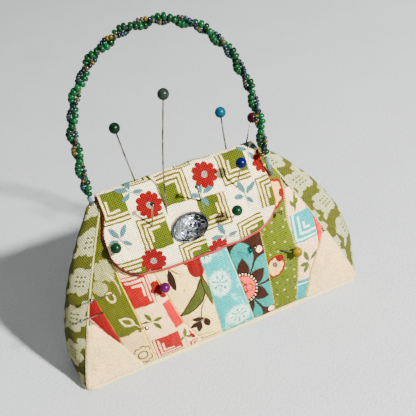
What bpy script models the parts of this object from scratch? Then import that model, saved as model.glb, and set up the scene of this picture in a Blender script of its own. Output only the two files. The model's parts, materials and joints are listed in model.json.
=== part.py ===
"""Pin cushion shaped like a small handbag, with its beaded handle and its pins.

The bag is a stuffed patchwork body on a felt base. A lined flap comes over the ridge and is
held by an oval button. A rope of two twisted bead strands is the handle, and it swings on its
sewn ends. Each pin slides along its own axis in a channel through the cloth and the stuffing.

Lengths are in millimetres and are turned into metres when a mesh is made. The origin is the
middle of the base's underside, +X is the bag's right seen from the front, and the front faces -Y.
"""
import math

import bmesh
import bpy
from mathutils import Vector

for old in list(bpy.data.objects):
    bpy.data.objects.remove(old, do_unlink=True)

MM = 0.001

# Outline of the stuffed body, as its outer cloth surface.
BASE_HALF_WIDTH = 59.3
RIDGE_HALF_WIDTH = 31.0
SIDE_CURVE = 1.2            # above 1, the sides bow outwards low down
BASE_HALF_DEPTH = 15.0
RIDGE_HALF_DEPTH = 2.3
RIDGE_LEAN = -2.7           # the ridge stands this far in front of the base's middle line
SHOULDER_Z = 70.0           # where the faces end and the rounded ridge starts
RIDGE_RISE = 1.2            # the ridge's height above the shoulder
FACE_BULGE = 4.0
GUSSET_BULGE_LEFT = 7.4     # the side panels are stuffed fuller than the faces
GUSSET_BULGE_RIGHT = 12.3
GUSSET_FULLNESS = 0.6       # below 1, a side panel keeps its bulge further towards its ends
LEFT_FULL_ABOVE = 12.0      # the left panel stays full, as if it ended this much higher
CORE_BELOW_SHOULDER = 1.0   # the main filling ends this far under the shoulder
RIDGE_CLOTH_START = 12      # degrees up the rounded ridge where its own strip of cloth starts
RIDGE_SAG = 1.2             # the handmade ridge is this much higher at the left, lower at the right

# Layers.
GAP = 0.3                   # kept between touching pieces
COTTON = 0.8                # cotton with its interfacing
FELT = 1.2
FELT_PROUD = 0.4            # how far the felt corners stand out of the cotton
LINING = 0.5
BASE_FELT = 1.8
BASE_CARD = 1.2
PANEL_BOTTOM = BASE_FELT + GAP
CARD_BOTTOM = BASE_FELT + GAP
CORE_BOTTOM = CARD_BOTTOM + BASE_CARD + GAP
BASE_MARGIN = 0.9           # how far the base felt shows outside the panels
BASE_CORNER = 5.0
SLIVER_RED_SPAN = (17.0, 36.5)      # heights between which each small piece runs
SLIVER_CORAL_SPAN = (26.0, 35.2)
CREAM_STRIP_TOP = 52.0              # where the last strip runs out at the right side seam
FELT_LEFT_TOP = 26.8
FELT_RIGHT_TOP = 27.6

# Flap.
FLAP_HALF_WIDTH = 30.6      # on the ridge
FLAP_CENTRE = -0.6
FLAP_FLARE = 1.9            # extra half width on the front
FLAP_DRIFT = -0.7           # sideways shift of the front part
FLAP_FLARE_TOP = 68.0
FLAP_FLARE_BOTTOM = 58.0
FLAP_EDGE_Z = 42.2          # lowest point of the front edge
FLAP_EDGE_X = -2.0          # where the front edge is lowest
FLAP_EDGE_CURVE = 0.0015
FLAP_CORNER = 10.0
FLAP_BACK_Z = 58.0
LINING_SHOWS = 0.6          # width of lining seen along the flap's edge

# Button.
BUTTON_X = -3.2
BUTTON_Z = 54.0
BUTTON_TILT = 14.0          # degrees that its axis rises from level
SETTING_LENGTH = 7.2        # half of the oval's long axis
SETTING_WIDTH = 5.6
SETTING_WALL = 0.45
SETTING_HEIGHT = 1.5
SETTING_FLOOR = 0.6
GEM_HEIGHT = 3.4
GEM_FACETS = 10
THREAD_RADIUS = 0.8
THREAD_DEPTH = 9.0

# Handle.
ANCHOR_LEFT = Vector((-33.4, -3.0, 72.4))
ANCHOR_RIGHT = Vector((32.4, -8.6, 60.4))
ANCHOR_RADIUS = 0.9
HANDLE_ROUTE = (
    (-33.8, -3.2, 76.6), (-32.8, -3.1, 89.6), (-31.2, -2.8, 103.6), (-25.4, -2.6, 115.4),
    (-16.6, -2.3, 124.2), (-4.4, -2.0, 128.6), (8.8, -1.9, 127.2), (19.4, -2.1, 120.9),
    (27.0, -2.6, 110.6), (31.3, -3.2, 98.0), (32.4, -5.6, 86.0), (31.6, -8.4, 76.2),
    (31.0, -10.0, 69.8),
)
STRAND_RADIUS = 0.9
STRAND_OFFSET = 1.06        # from the rope's centre line to each strand's
TWIST_PITCH = 13.7
POINTS_PER_TWIST = 7
BUGLE_RADIUS = 0.75

# Pins.
SHAFT_RADIUS = 0.3
SHAFT_SIDES = 6
CHANNEL_RADIUS = 0.68
CHANNEL_ABOVE = 4.0         # how far a channel's cutter stands out of the cloth
CHANNEL_SLACK = 1.2         # channel beyond the point of a pin that is fully in
PEARL_RADIUS = 2.0
PEARL_SOCKET = 1.3          # how far the shaft goes into its pearl
TIP_LENGTH = 2.2
TIP_RADIUS = 0.06
STEEL_HEAD_RADIUS = 0.85
STEEL_HEAD_HEIGHT = 0.6


# Name: the layer it enters, where on it, from there to the head, length inside, travel further in.
# The place is (x, z) on the flap's or the front's cloth, and (x, y) on the ridge of the flap.
PEARL_PINS = {
    "green_tall": ("ridge", (-15.9, -1.0), (-1.4, 1.6, 21.5), 22.0, 8.0),
    "grey_long": ("flap", (-9.4, 60.6), (8.9, -2.4, 46.6), 16.0, 0.0),
    "turquoise": ("ridge", (19.8, -1.0), (1.2, 1.7, 14.3), 20.0, 0.0),
    "plum": ("ridge", (28.0, -0.8), (5.3, 3.8, 6.7), 14.0, 0.0),
    "navy": ("flap", (18.2, 60.6), (1.2, -7.6, 14.8), 18.0, 0.0),
    "emerald": ("flap", (13.6, 50.8), (-0.3, -8.4, 8.6), 20.0, 0.0),
    "leaf_green": ("flap", (-30.2, 55.6), (-0.9, -3.4, 1.2), 13.0, 0.0),
    "magenta": ("front", (-19.4, 34.6), (0.5, -3.6, 0.6), 20.0, 0.0),
    "yellow": ("front", (27.6, 29.4), (6.8, -3.6, -1.6), 20.0, 0.0),
}
STEEL_PINS = {
    "steel_flap_left": ("flap", (-16.2, 57.6), (1.2, -7.4, 14.4), 14.0),
    "steel_flap_middle": ("flap", (3.9, 61.0), (-2.2, -8.4, 12.0), 14.0),
    "steel_right_seam": ("front", (26.6, 46.2), (5.0, -4.0, 0.6), 12.0),
    "steel_under_flap": ("front", (16.0, 32.8), (2.2, -3.2, 5.2), 12.0),
    "steel_low_left": ("front", (-30.6, 18.8), (0.5, -3.4, 2.3), 14.0),
    "steel_left_upper": ("front", (-37.0, 36.8), (-8.8, -4.6, 4.4), 12.0),
    "steel_left_lower": ("front", (-42.6, 30.6), (-9.2, -4.8, 4.0), 12.0),
}


# --- Shape of the body -------------------------------------------------------------------------

def interpolate(z, points):
    """Read x at height z on a line given as (z, x) points from the bottom up."""
    if z <= points[0][0]:
        return points[0][1]
    for (z0, x0), (z1, x1) in zip(points, points[1:]):
        if z <= z1:
            return x0 + (x1 - x0) * (z - z0) / (z1 - z0)
    return points[-1][1]


def side_x(z):
    """Half width of the body at height z."""
    share = min(max(z / SHOULDER_Z, 0.0), 1.0)
    return BASE_HALF_WIDTH + (RIDGE_HALF_WIDTH - BASE_HALF_WIDTH) * share ** SIDE_CURVE


def half_depth(z):
    """Half depth of the body at height z, at its seams."""
    if z > SHOULDER_Z:
        rise = min((z - SHOULDER_Z) / RIDGE_RISE, 1.0)
        return RIDGE_HALF_DEPTH * math.sqrt(1.0 - rise * rise)
    return BASE_HALF_DEPTH + (RIDGE_HALF_DEPTH - BASE_HALF_DEPTH) * z / SHOULDER_Z


def swell(z):
    """How full the stuffing is at height z, from 0 at the base and the shoulder to 1."""
    return math.sin(math.pi * min(max(z / SHOULDER_Z, 0.0), 1.0))


def middle_y(z):
    """Depth of the bag's middle at height z, as the body leans a little forward."""
    return RIDGE_LEAN * min(max(z / SHOULDER_Z, 0.0), 1.0)


def face_y(x, z, side, lift=0.0):
    """Depth of the front (side -1) or back (side 1) cloth, moved outwards by a lift."""
    across = min(abs(x) / side_x(z), 1.0)
    bulge = FACE_BULGE * (1.0 - across * across) * swell(z)
    return middle_y(z) + side * (half_depth(z) + bulge + lift)


def gusset_bulge(z, side):
    """How far the left (side -1) or right (side 1) panel bulges at height z."""
    if side < 0:
        share = min(max(z / (SHOULDER_Z + LEFT_FULL_ABOVE), 0.0), 1.0)
        return GUSSET_BULGE_LEFT * math.sin(math.pi * share) ** GUSSET_FULLNESS
    return GUSSET_BULGE_RIGHT * swell(z) ** GUSSET_FULLNESS


def gusset_x(off, z, side):
    """Place of the side cloth across the bag, at a distance off its middle and height z."""
    across = min(abs(off) / half_depth(z), 1.0)
    return side * (side_x(z) + gusset_bulge(z, side) * (1.0 - across * across))


def settle(point):
    """Tip the ridge a little, as the stuffing has settled."""
    x, y, z = point
    return Vector((x, y, z - RIDGE_SAG * (x / RIDGE_HALF_WIDTH) * (z / SHOULDER_Z)))


def flap_stack():
    """Height of the flap's outer face above the front's cloth."""
    return GAP + LINING + GAP + COTTON


def pin_entry(layer, place):
    """The point where a pin goes into the cloth."""
    if layer == "ridge":
        x, y = place
        lift = flap_stack()
        rise = math.sqrt(1.0 - ((y - RIDGE_LEAN) / (RIDGE_HALF_DEPTH + lift)) ** 2)
        return settle((x, y, SHOULDER_Z + (RIDGE_RISE + GAP + lift) * rise))
    x, z = place
    lift = flap_stack() if layer == "flap" else 0.0
    return settle((x, face_y(x, z, -1, lift), z))


# --- Mesh helpers ------------------------------------------------------------------------------

def make_material(name, colour, roughness, metallic=0.0):
    material = bpy.data.materials.new(name)
    material.use_nodes = True
    shader = material.node_tree.nodes["Principled BSDF"]
    shader.inputs["Base Color"].default_value = (*colour, 1.0)
    shader.inputs["Roughness"].default_value = roughness
    shader.inputs["Metallic"].default_value = metallic
    material.diffuse_color = (*colour, 1.0)
    return material


def make_object(name, mesh_data, material, smooth=True):
    """Turn a bmesh in millimetres into an object in metres."""
    bmesh.ops.scale(mesh_data, vec=(MM, MM, MM), verts=mesh_data.verts)
    bmesh.ops.recalc_face_normals(mesh_data, faces=mesh_data.faces)
    mesh = bpy.data.meshes.new(name)
    mesh_data.to_mesh(mesh)
    mesh_data.free()
    if smooth:
        mesh.shade_smooth()
        mesh.set_sharp_from_angle(angle=math.radians(35))
    obj = bpy.data.objects.new(name, mesh)
    obj.data.materials.append(material)
    bpy.context.scene.collection.objects.link(obj)
    return obj


def shell_mesh(outer, inner):
    """Close two grids of points, an outer and an inner skin, into one solid."""
    mesh_data = bmesh.new()
    rows = len(outer)
    columns = len(outer[0])
    skins = [[[mesh_data.verts.new(point) for point in row] for row in skin] for skin in (outer, inner)]
    for skin in skins:
        for i in range(rows - 1):
            for j in range(columns - 1):
                mesh_data.faces.new((skin[i][j], skin[i][j + 1], skin[i + 1][j + 1], skin[i + 1][j]))
    rim = [(0, j) for j in range(columns)]
    rim += [(i, columns - 1) for i in range(1, rows)]
    rim += [(rows - 1, j) for j in range(columns - 2, -1, -1)]
    rim += [(i, 0) for i in range(rows - 2, 0, -1)]
    for (i, j), (k, m) in zip(rim, rim[1:] + rim[:1]):
        mesh_data.faces.new((skins[0][i][j], skins[0][k][m], skins[1][k][m], skins[1][i][j]))
    return mesh_data


def loft_mesh(rings):
    """Join closed rings of points, and close both ends."""
    mesh_data = bmesh.new()
    loops = [[mesh_data.verts.new(point) for point in ring] for ring in rings]
    count = len(loops[0])
    for lower, upper in zip(loops, loops[1:]):
        for i in range(count):
            k = (i + 1) % count
            mesh_data.faces.new((lower[i], lower[k], upper[k], upper[i]))
    mesh_data.faces.new(loops[0])
    mesh_data.faces.new(loops[-1])
    return mesh_data


def ring(radius, height, sides, stretch=1.0):
    """A ring of points round Z, stretched along Y."""
    turns = [2.0 * math.pi * i / sides for i in range(sides)]
    return [Vector((radius * math.cos(a), radius * stretch * math.sin(a), height)) for a in turns]


def steps(low, high, count):
    """Evenly spaced values from low to high, both included."""
    return [low + (high - low) * i / count for i in range(count + 1)]


# --- Cloth panels ------------------------------------------------------------------------------

# Heights of the rows that neighbouring pieces share. Every corner of an edge line lies on one.
ROW_GAP = 0.5               # rows closer than this to a panel's end are left out
FACE_LEVELS = (8.0, 13.7, 18.9, 24.0, 29.5, 36.8, 39.8, 46.0, 52.0, 58.0, 64.0)
SIDE_LEVELS = (2.8, 4.2, 6.5, 10.0, 16.0, 24.0, 34.0, 44.0, 52.0, 58.0, 63.0, 66.5, 68.5)


def left_seam(z):
    return -side_x(z)


def right_seam(z):
    return side_x(z)


def felt_left_edge(z):
    return interpolate(z, ((2.1, -35.4), (13.7, -40.2), (24.0, -46.2), (29.5, -49.8), (36.8, -60.0)))


def felt_right_edge(z):
    return interpolate(z, ((2.1, 35.4), (13.7, 39.6), (24.0, 45.8), (29.5, 48.8), (36.8, 60.0)))


def red_edge(z):
    return interpolate(z, ((13.7, -40.2), (39.8, -44.9)))


def coral_edge(z):
    return interpolate(z, ((24.0, 45.8), (36.8, 46.2)))


def seam_1(z):
    return interpolate(z, ((2.1, -30.2), (24.0, -31.6), (39.8, -33.3), (52.0, -33.4), (70.0, -27.0)))


def seam_2(z):
    return interpolate(z, ((2.1, -10.0), (13.7, -15.2), (39.8, -20.8), (70.0, -21.0)))


def seam_3(z):
    return interpolate(z, ((2.1, -1.6), (39.8, -2.6), (70.0, -7.0)))


def seam_4(z):
    return interpolate(z, ((2.1, 12.6), (39.8, 8.2), (70.0, 5.0)))


def seam_5(z):
    return interpolate(z, ((2.1, 21.7), (39.8, 23.0), (70.0, 17.0)))


def seam_6(z):
    return interpolate(z, ((2.1, 31.4), (24.0, 36.3), (39.8, 34.8), (58.0, 37.6)))


def strip_1_left(z):
    if z < 13.7:
        return felt_left_edge(z)
    if z < 39.8:
        return red_edge(z)
    return left_seam(z)


def strip_6_right(z):
    return min(seam_6(z), right_seam(z))


def strip_7_right(z):
    if z < 24.0:
        return felt_right_edge(z)
    if z < 36.8:
        return coral_edge(z)
    return right_seam(z)


def red_left(z):
    return max(left_seam(z), felt_left_edge(z))


def coral_right(z):
    return min(right_seam(z), felt_right_edge(z))


def face_panel(name, left, right, low, high, columns, side, material, thickness=COTTON, proud=0.0):
    """One piece of cloth on the front (side -1) or the back (side 1), between two edge lines."""
    outer = []
    inner = []
    between = [level for level in FACE_LEVELS if low + ROW_GAP < level < high - ROW_GAP]
    for z in [low] + between + [high]:
        xs = steps(left(z) + GAP / 2, right(z) - GAP / 2, columns)
        outer.append([settle((x, face_y(x, z, side, proud), z)) for x in xs])
        inner.append([settle((x, face_y(x, z, side, proud - thickness), z)) for x in xs])
    return make_object(name, shell_mesh(outer, inner), material)


def gusset_panel(name, side, material):
    """The side cloth, between the front's and the back's seams."""
    outer = []
    inner = []
    for z in (PANEL_BOTTOM,) + SIDE_LEVELS + (SHOULDER_Z - GAP,):
        reach = half_depth(z) - COTTON - GAP
        middle = middle_y(z)
        offs = steps(-reach, reach, 8)
        outer.append([settle((gusset_x(off, z, side), middle + off, z)) for off in offs])
        inner.append([settle((gusset_x(off, z, side) - side * COTTON, middle + off, z)) for off in offs])
    return make_object(name, shell_mesh(outer, inner), material)


def ridge_panel(material):
    """The strip of gusset cloth along the top, under the flap."""
    outer = []
    inner = []
    for x in steps(-RIDGE_HALF_WIDTH, RIDGE_HALF_WIDTH, 6):
        angles = steps(math.radians(RIDGE_CLOTH_START), math.radians(180 - RIDGE_CLOTH_START), 6)
        top = SHOULDER_Z + GAP
        for skin, inset in ((outer, 0.0), (inner, COTTON)):
            depth = RIDGE_HALF_DEPTH - inset
            rise = RIDGE_RISE - inset
            skin.append([settle((x, RIDGE_LEAN - depth * math.cos(a), top + rise * math.sin(a)))
                         for a in angles])
    return make_object("gusset_ridge", shell_mesh(outer, inner), material)


def body_ring(z, inset):
    """The body's section at height z, pulled in by an inset."""
    width = side_x(z) - inset
    depth = half_depth(z) - inset
    middle = middle_y(z)
    front = [(x, face_y(x, z, -1, -inset)) for x in steps(-width, width, 8)]
    back = [(x, face_y(x, z, 1, -inset)) for x in steps(width, -width, 8)]
    offs = steps(-depth, depth, 6)[1:-1]
    right = [(gusset_x(off, z, 1) - inset, middle + off) for off in offs]
    left = [(gusset_x(off, z, -1) + inset, middle + off) for off in reversed(offs)]
    return [settle((x, y, z)) for x, y in front + right + back + left]


def stuffing(material):
    """The body of fibre filling inside the cloth."""
    inset = COTTON + GAP
    top = SHOULDER_Z - CORE_BELOW_SHOULDER
    between = [level for level in SIDE_LEVELS if CORE_BOTTOM < level < top]
    rings = [body_ring(z, inset) for z in [CORE_BOTTOM] + between + [top]]
    return make_object("stuffing_core", loft_mesh(rings), material)


def ridge_filling(material):
    """The narrow roll of filling under the ridge cloth."""
    rings = []
    reach = RIDGE_HALF_WIDTH - COTTON - 2 * GAP
    for x in steps(-reach, reach, 4):
        depth = RIDGE_HALF_DEPTH - COTTON - GAP
        rise = RIDGE_RISE - COTTON - GAP
        low = SHOULDER_Z - CORE_BELOW_SHOULDER + GAP
        top = SHOULDER_Z + GAP
        arc = [(-depth * math.cos(a), top + rise * math.sin(a)) for a in steps(0.0, math.pi, 6)]
        section = arc + [(depth, low), (-depth, low)]
        rings.append([settle((x, RIDGE_LEAN + off, z)) for off, z in section])
    return make_object("ridge_filling", loft_mesh(rings), material)


def base_plate(name, half_length, half_width, low, thickness, corner, material):
    """A flat plate with rounded corners."""
    outline = []
    for centre_x, centre_y, start in ((1, 1, 0), (-1, 1, 90), (-1, -1, 180), (1, -1, 270)):
        for turn in steps(start, start + 90, 4):
            x = centre_x * (half_length - corner) + corner * math.cos(math.radians(turn))
            y = centre_y * (half_width - corner) + corner * math.sin(math.radians(turn))
            outline.append((x, y))
    rings = [[Vector((x, y, z)) for x, y in outline] for z in (low, low + thickness)]
    return make_object(name, loft_mesh(rings), material)


# --- Flap --------------------------------------------------------------------------------------

def flap_flare(z):
    """From 0 on the ridge to 1 on the front, for the flap's growing width."""
    share = (FLAP_FLARE_TOP - z) / (FLAP_FLARE_TOP - FLAP_FLARE_BOTTOM)
    share = min(max(share, 0.0), 1.0)
    return share * share * (3.0 - 2.0 * share)


def flap_point(across, travel, lift, extra):
    """A point of the flap. Travel is 0 at the front shoulder, and grows over the ridge."""
    arc = math.pi * (RIDGE_HALF_DEPTH + RIDGE_RISE) / 2
    if travel < 0.0:
        z = SHOULDER_Z + travel
        flare = flap_flare(z)
    elif travel <= arc:
        z = SHOULDER_Z + (RIDGE_RISE + GAP + lift) * math.sin(math.pi * travel / arc)
        flare = 0.0
    else:
        z = SHOULDER_Z - (travel - arc)
        flare = 0.0
    half = FLAP_HALF_WIDTH + FLAP_FLARE * flare + extra
    x = FLAP_CENTRE + FLAP_DRIFT * flare + half * across
    if travel < 0.0:
        y = face_y(x, z, -1, lift)
    elif travel <= arc:
        y = RIDGE_LEAN - (RIDGE_HALF_DEPTH + lift) * math.cos(math.pi * travel / arc)
    else:
        y = face_y(x, z, 1, lift)
    return settle((x, y, z))


def flap_start(across, extra):
    """Where the flap's front edge is for a place across it, with its rounded lower corners."""
    half = FLAP_HALF_WIDTH + FLAP_FLARE
    x = FLAP_CENTRE + FLAP_DRIFT + half * across
    edge = FLAP_EDGE_Z + FLAP_EDGE_CURVE * (x - FLAP_EDGE_X) ** 2 - extra
    into_corner = max(0.0, (abs(across) * half - (half - FLAP_CORNER)) / FLAP_CORNER)
    edge += FLAP_CORNER * (1.0 - math.sqrt(1.0 - min(into_corner, 0.98) ** 2))
    return edge - SHOULDER_Z


def flap_layer(name, low, thickness, extra, material):
    """One layer of the flap, from its front edge over the ridge to the back seam."""
    arc = math.pi * (RIDGE_HALF_DEPTH + RIDGE_RISE) / 2
    end = arc + SHOULDER_Z - FLAP_BACK_Z
    places = [math.sin(a) for a in steps(-math.pi / 2, math.pi / 2, 12)]
    outer = []
    inner = []
    starts = [flap_start(across, extra) for across in places]
    travels = [[start * (1.0 - share) for start in starts] for share in steps(0.0, 1.0, 7)[:-1]]
    travels += [[travel] * len(places) for travel in steps(0.0, arc, 8) + steps(arc, end, 3)[1:]]
    for row in travels:
        spots = list(zip(places, row))
        outer.append([flap_point(across, travel, low + thickness, extra) for across, travel in spots])
        inner.append([flap_point(across, travel, low, extra) for across, travel in spots])
    return make_object(name, shell_mesh(outer, inner), material)


# --- Button ------------------------------------------------------------------------------------

def button_frame():
    """An empty on the flap, with its Z along the button's axis."""
    depth = face_y(BUTTON_X, BUTTON_Z, -1, flap_stack() + GAP)
    start = settle((BUTTON_X, depth, BUTTON_Z))
    frame = bpy.data.objects.new("button_frame", None)
    frame.location = start * MM
    frame.rotation_euler = (math.radians(90 - BUTTON_TILT), 0.0, 0.0)
    bpy.context.scene.collection.objects.link(frame)
    return frame


def button_setting(frame, material):
    """The oval metal cup that holds the stone."""
    stretch = SETTING_WIDTH / SETTING_LENGTH
    inside = SETTING_LENGTH - SETTING_WALL
    profile = ((SETTING_LENGTH - 0.5, 0.0), (SETTING_LENGTH, 0.4), (SETTING_LENGTH, SETTING_HEIGHT - 0.3),
               (SETTING_LENGTH - 0.15, SETTING_HEIGHT), (inside, SETTING_HEIGHT), (inside, SETTING_FLOOR))
    rings = [ring(radius, height, 24, stretch) for radius, height in profile]
    setting = make_object("button_setting", loft_mesh(rings), material)
    setting.parent = frame
    return setting


def button_gem(frame, material):
    """The faceted foil-backed stone."""
    stretch = SETTING_WIDTH / SETTING_LENGTH
    girdle = SETTING_LENGTH - SETTING_WALL - GAP
    low = SETTING_FLOOR + GAP
    profile = ((girdle, low), (girdle, low + 0.7), (girdle * 0.72, low + 0.7 * GEM_HEIGHT),
               (girdle * 0.4, low + GEM_HEIGHT))
    rings = [ring(radius, height, GEM_FACETS, stretch) for radius, height in profile]
    gem = make_object("button_gem", loft_mesh(rings), material, smooth=False)
    gem.parent = frame
    return gem


def button_thread(frame, material):
    """The thread shank that ties the button through the flap into the filling."""
    rings = [ring(THREAD_RADIUS, height, 8) for height in (-GAP, -THREAD_DEPTH)]
    thread = make_object("button_thread", loft_mesh(rings), material)
    thread.parent = frame
    return thread


# --- Handle ------------------------------------------------------------------------------------

def route_point(share):
    """A point on the smooth curve through the handle's route, share from 0 to 1."""
    points = [Vector(p) for p in HANDLE_ROUTE]
    scaled = share * (len(points) - 1)
    i = min(int(scaled), len(points) - 2)
    t = scaled - i
    before = points[i - 1] if i > 0 else points[i] * 2 - points[i + 1]
    after = points[i + 2] if i + 2 < len(points) else points[i + 1] * 2 - points[i]
    start, end = points[i], points[i + 1]
    return 0.5 * ((2 * start) + (end - before) * t + (2 * before - 5 * start + 4 * end - after) * t ** 2
                  + (3 * start - before - 3 * end + after) * t ** 3)


def even_route(count):
    """Points at even distances along the handle's route."""
    fine = [route_point(i / 600) for i in range(601)]
    travelled = [0.0]
    for a, b in zip(fine, fine[1:]):
        travelled.append(travelled[-1] + (b - a).length)
    points = []
    k = 0
    for i in range(count + 1):
        target = travelled[-1] * i / count
        while k < len(fine) - 2 and travelled[k + 1] < target:
            k += 1
        share = (target - travelled[k]) / (travelled[k + 1] - travelled[k])
        points.append(fine[k].lerp(fine[k + 1], share))
    return points, travelled[-1]


def bead_strand(name, phase, pivot, material):
    """One of the two bead strands, wound round the rope's centre line."""
    length = even_route(10)[1]
    count = round(length / TWIST_PITCH * POINTS_PER_TWIST)
    route = even_route(count)[0]
    curve = bpy.data.curves.new(name, "CURVE")
    curve.dimensions = "3D"
    curve.bevel_depth = STRAND_RADIUS * MM
    curve.bevel_resolution = 1
    curve.use_fill_caps = True
    spline = curve.splines.new("POLY")
    spline.points.add(count)
    for i, centre in enumerate(route):
        ahead = route[min(i + 1, count)] - route[max(i - 1, 0)]
        forward = Vector((0.0, -1.0, 0.0))
        sideways = ahead.cross(forward).normalized()
        forward = sideways.cross(ahead).normalized()
        turn = phase + 2.0 * math.pi * i / POINTS_PER_TWIST
        place = centre + STRAND_OFFSET * (math.cos(turn) * forward + math.sin(turn) * sideways)
        spline.points[i].co = (*(place * MM - pivot.location), 1.0)
    strand = bpy.data.objects.new(name, curve)
    strand.data.materials.append(material)
    strand.parent = pivot
    bpy.context.scene.collection.objects.link(strand)
    return strand


def rod_between(name, start, end, radius, material, parent):
    """A straight round rod between two points."""
    axis = end - start
    rings = [ring(radius, height, 10) for height in (0.0, axis.length)]
    rod = make_object(name, loft_mesh(rings), material)
    rod.parent = parent
    rod.location = start * MM - parent.location
    rod.rotation_euler = axis.to_track_quat("Z", "Y").to_euler()
    return rod


def thread_knot(name, centre, material):
    """The knot of thread that sews one end of the handle to the bag."""
    mesh_data = bmesh.new()
    bmesh.ops.create_icosphere(mesh_data, subdivisions=1, radius=ANCHOR_RADIUS)
    knot = make_object(name, mesh_data, material)
    knot.location = centre * MM
    return knot


def handle(green, iridescent, bugle, thread):
    """The bead rope with its end beads, on a pivot that lies on the swing axis."""
    pivot = bpy.data.objects.new("handle_pivot", None)
    pivot.location = (ANCHOR_LEFT + ANCHOR_RIGHT) * 0.5 * MM
    bpy.context.scene.collection.objects.link(pivot)
    bead_strand("bead_strand_green", 0.0, pivot, green)
    bead_strand("bead_strand_iridescent", math.pi, pivot, iridescent)
    for name, anchor, rope_end in (("left", ANCHOR_LEFT, Vector(HANDLE_ROUTE[0])),
                                   ("right", ANCHOR_RIGHT, Vector(HANDLE_ROUTE[-1]))):
        along = (rope_end - anchor).normalized()
        start = anchor + along * (ANCHOR_RADIUS + GAP)
        end = rope_end - along * (STRAND_RADIUS + GAP)
        rod_between("end_bead_" + name, start, end, BUGLE_RADIUS, bugle, pivot)
        thread_knot("handle_knot_" + name, anchor, thread)


# --- Pins --------------------------------------------------------------------------------------

def pin_frame(name, entry, to_head):
    """An empty where the pin enters the cloth, with its Z towards the head."""
    frame = bpy.data.objects.new(name + "_axis", None)
    frame.location = entry * MM
    frame.rotation_euler = Vector(to_head).to_track_quat("Z", "Y").to_euler()
    bpy.context.scene.collection.objects.link(frame)
    return frame


def shaft_rings(top, inside):
    """A steel shaft from its top down to its sharp point."""
    return [ring(SHAFT_RADIUS, top, SHAFT_SIDES), ring(SHAFT_RADIUS, TIP_LENGTH - inside, SHAFT_SIDES),
            ring(TIP_RADIUS, -inside, SHAFT_SIDES)]


def pearl_pin(name, entry, to_head, inside, steel, colour):
    """A pin with a round pearl head."""
    frame = pin_frame(name, entry, to_head)
    centre = Vector(to_head).length
    top = centre - PEARL_RADIUS + PEARL_SOCKET
    shaft = make_object("pin_shaft_" + name, loft_mesh(shaft_rings(top, inside)), steel)
    shaft.parent = frame
    mesh_data = bmesh.new()
    bmesh.ops.create_uvsphere(mesh_data, u_segments=10, v_segments=7, radius=PEARL_RADIUS)
    head = make_object("pin_head_" + name, mesh_data, colour)
    head.location = (0.0, 0.0, centre * MM)
    head.parent = frame
    low = centre - PEARL_RADIUS - 1.0
    high = top + GAP
    bore = [ring(CHANNEL_RADIUS, level, 6) for level in (low, high)]
    socket = make_object("socket_" + name, loft_mesh(bore), steel)
    socket.parent = frame
    cut_away(head, socket)


def steel_pin(name, entry, to_head, inside, steel):
    """A short pin with a small flat steel head, in one piece."""
    frame = pin_frame(name, entry, to_head)
    top = Vector(to_head).length
    rings = [ring(STEEL_HEAD_RADIUS * 0.6, top + STEEL_HEAD_HEIGHT, 8),
             ring(STEEL_HEAD_RADIUS, top + STEEL_HEAD_HEIGHT * 0.5, 8),
             ring(STEEL_HEAD_RADIUS * 0.8, top, 8),
             ring(SHAFT_RADIUS, top - 0.1, 8), ring(SHAFT_RADIUS, TIP_LENGTH - inside, 8),
             ring(TIP_RADIUS, -inside, 8)]
    pin = make_object("pin_" + name, loft_mesh(rings), steel)
    pin.parent = frame


def channel_cutter(material):
    """All the channels that the pins and the button's thread run in, as one cutter."""
    channels = [(layer, place, to_head, inside + deeper)
                for layer, place, to_head, inside, deeper in PEARL_PINS.values()]
    channels += list(STEEL_PINS.values())
    mesh_data = bmesh.new()
    for layer, place, to_head, inside in channels:
        entry = pin_entry(layer, place)
        turn = Vector(to_head).to_track_quat("Z", "Y")
        levels = (CHANNEL_ABOVE, -inside - CHANNEL_SLACK)
        add_channel(mesh_data, [[turn @ p + entry for p in ring(CHANNEL_RADIUS, level, 6)]
                                for level in levels])
    bpy.context.view_layer.update()
    placed = bpy.data.objects["button_frame"].matrix_world
    rings = [[placed @ (p * MM) / MM for p in ring(THREAD_RADIUS + GAP + 0.1, level, 8)]
             for level in (1.0, -THREAD_DEPTH - CHANNEL_SLACK)]
    add_channel(mesh_data, rings)
    return make_object("pin_channels", mesh_data, material)


def add_channel(mesh_data, rings):
    """Add one closed prism to a mesh."""
    top = [mesh_data.verts.new(p) for p in rings[0]]
    bottom = [mesh_data.verts.new(p) for p in rings[1]]
    mesh_data.faces.new(top)
    mesh_data.faces.new(bottom)
    for i in range(len(top)):
        k = (i + 1) % len(top)
        mesh_data.faces.new((top[i], top[k], bottom[k], bottom[i]))


def cut_away(target, cutter):
    """Take a hidden cutter's shape out of a piece."""
    cutter.hide_render = True
    cutter.display_type = "WIRE"
    modifier = target.modifiers.new("cut_" + cutter.name, "BOOLEAN")
    modifier.operation = "DIFFERENCE"
    modifier.solver = "EXACT"
    modifier.object = cutter


# --- The whole object --------------------------------------------------------------------------

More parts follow.
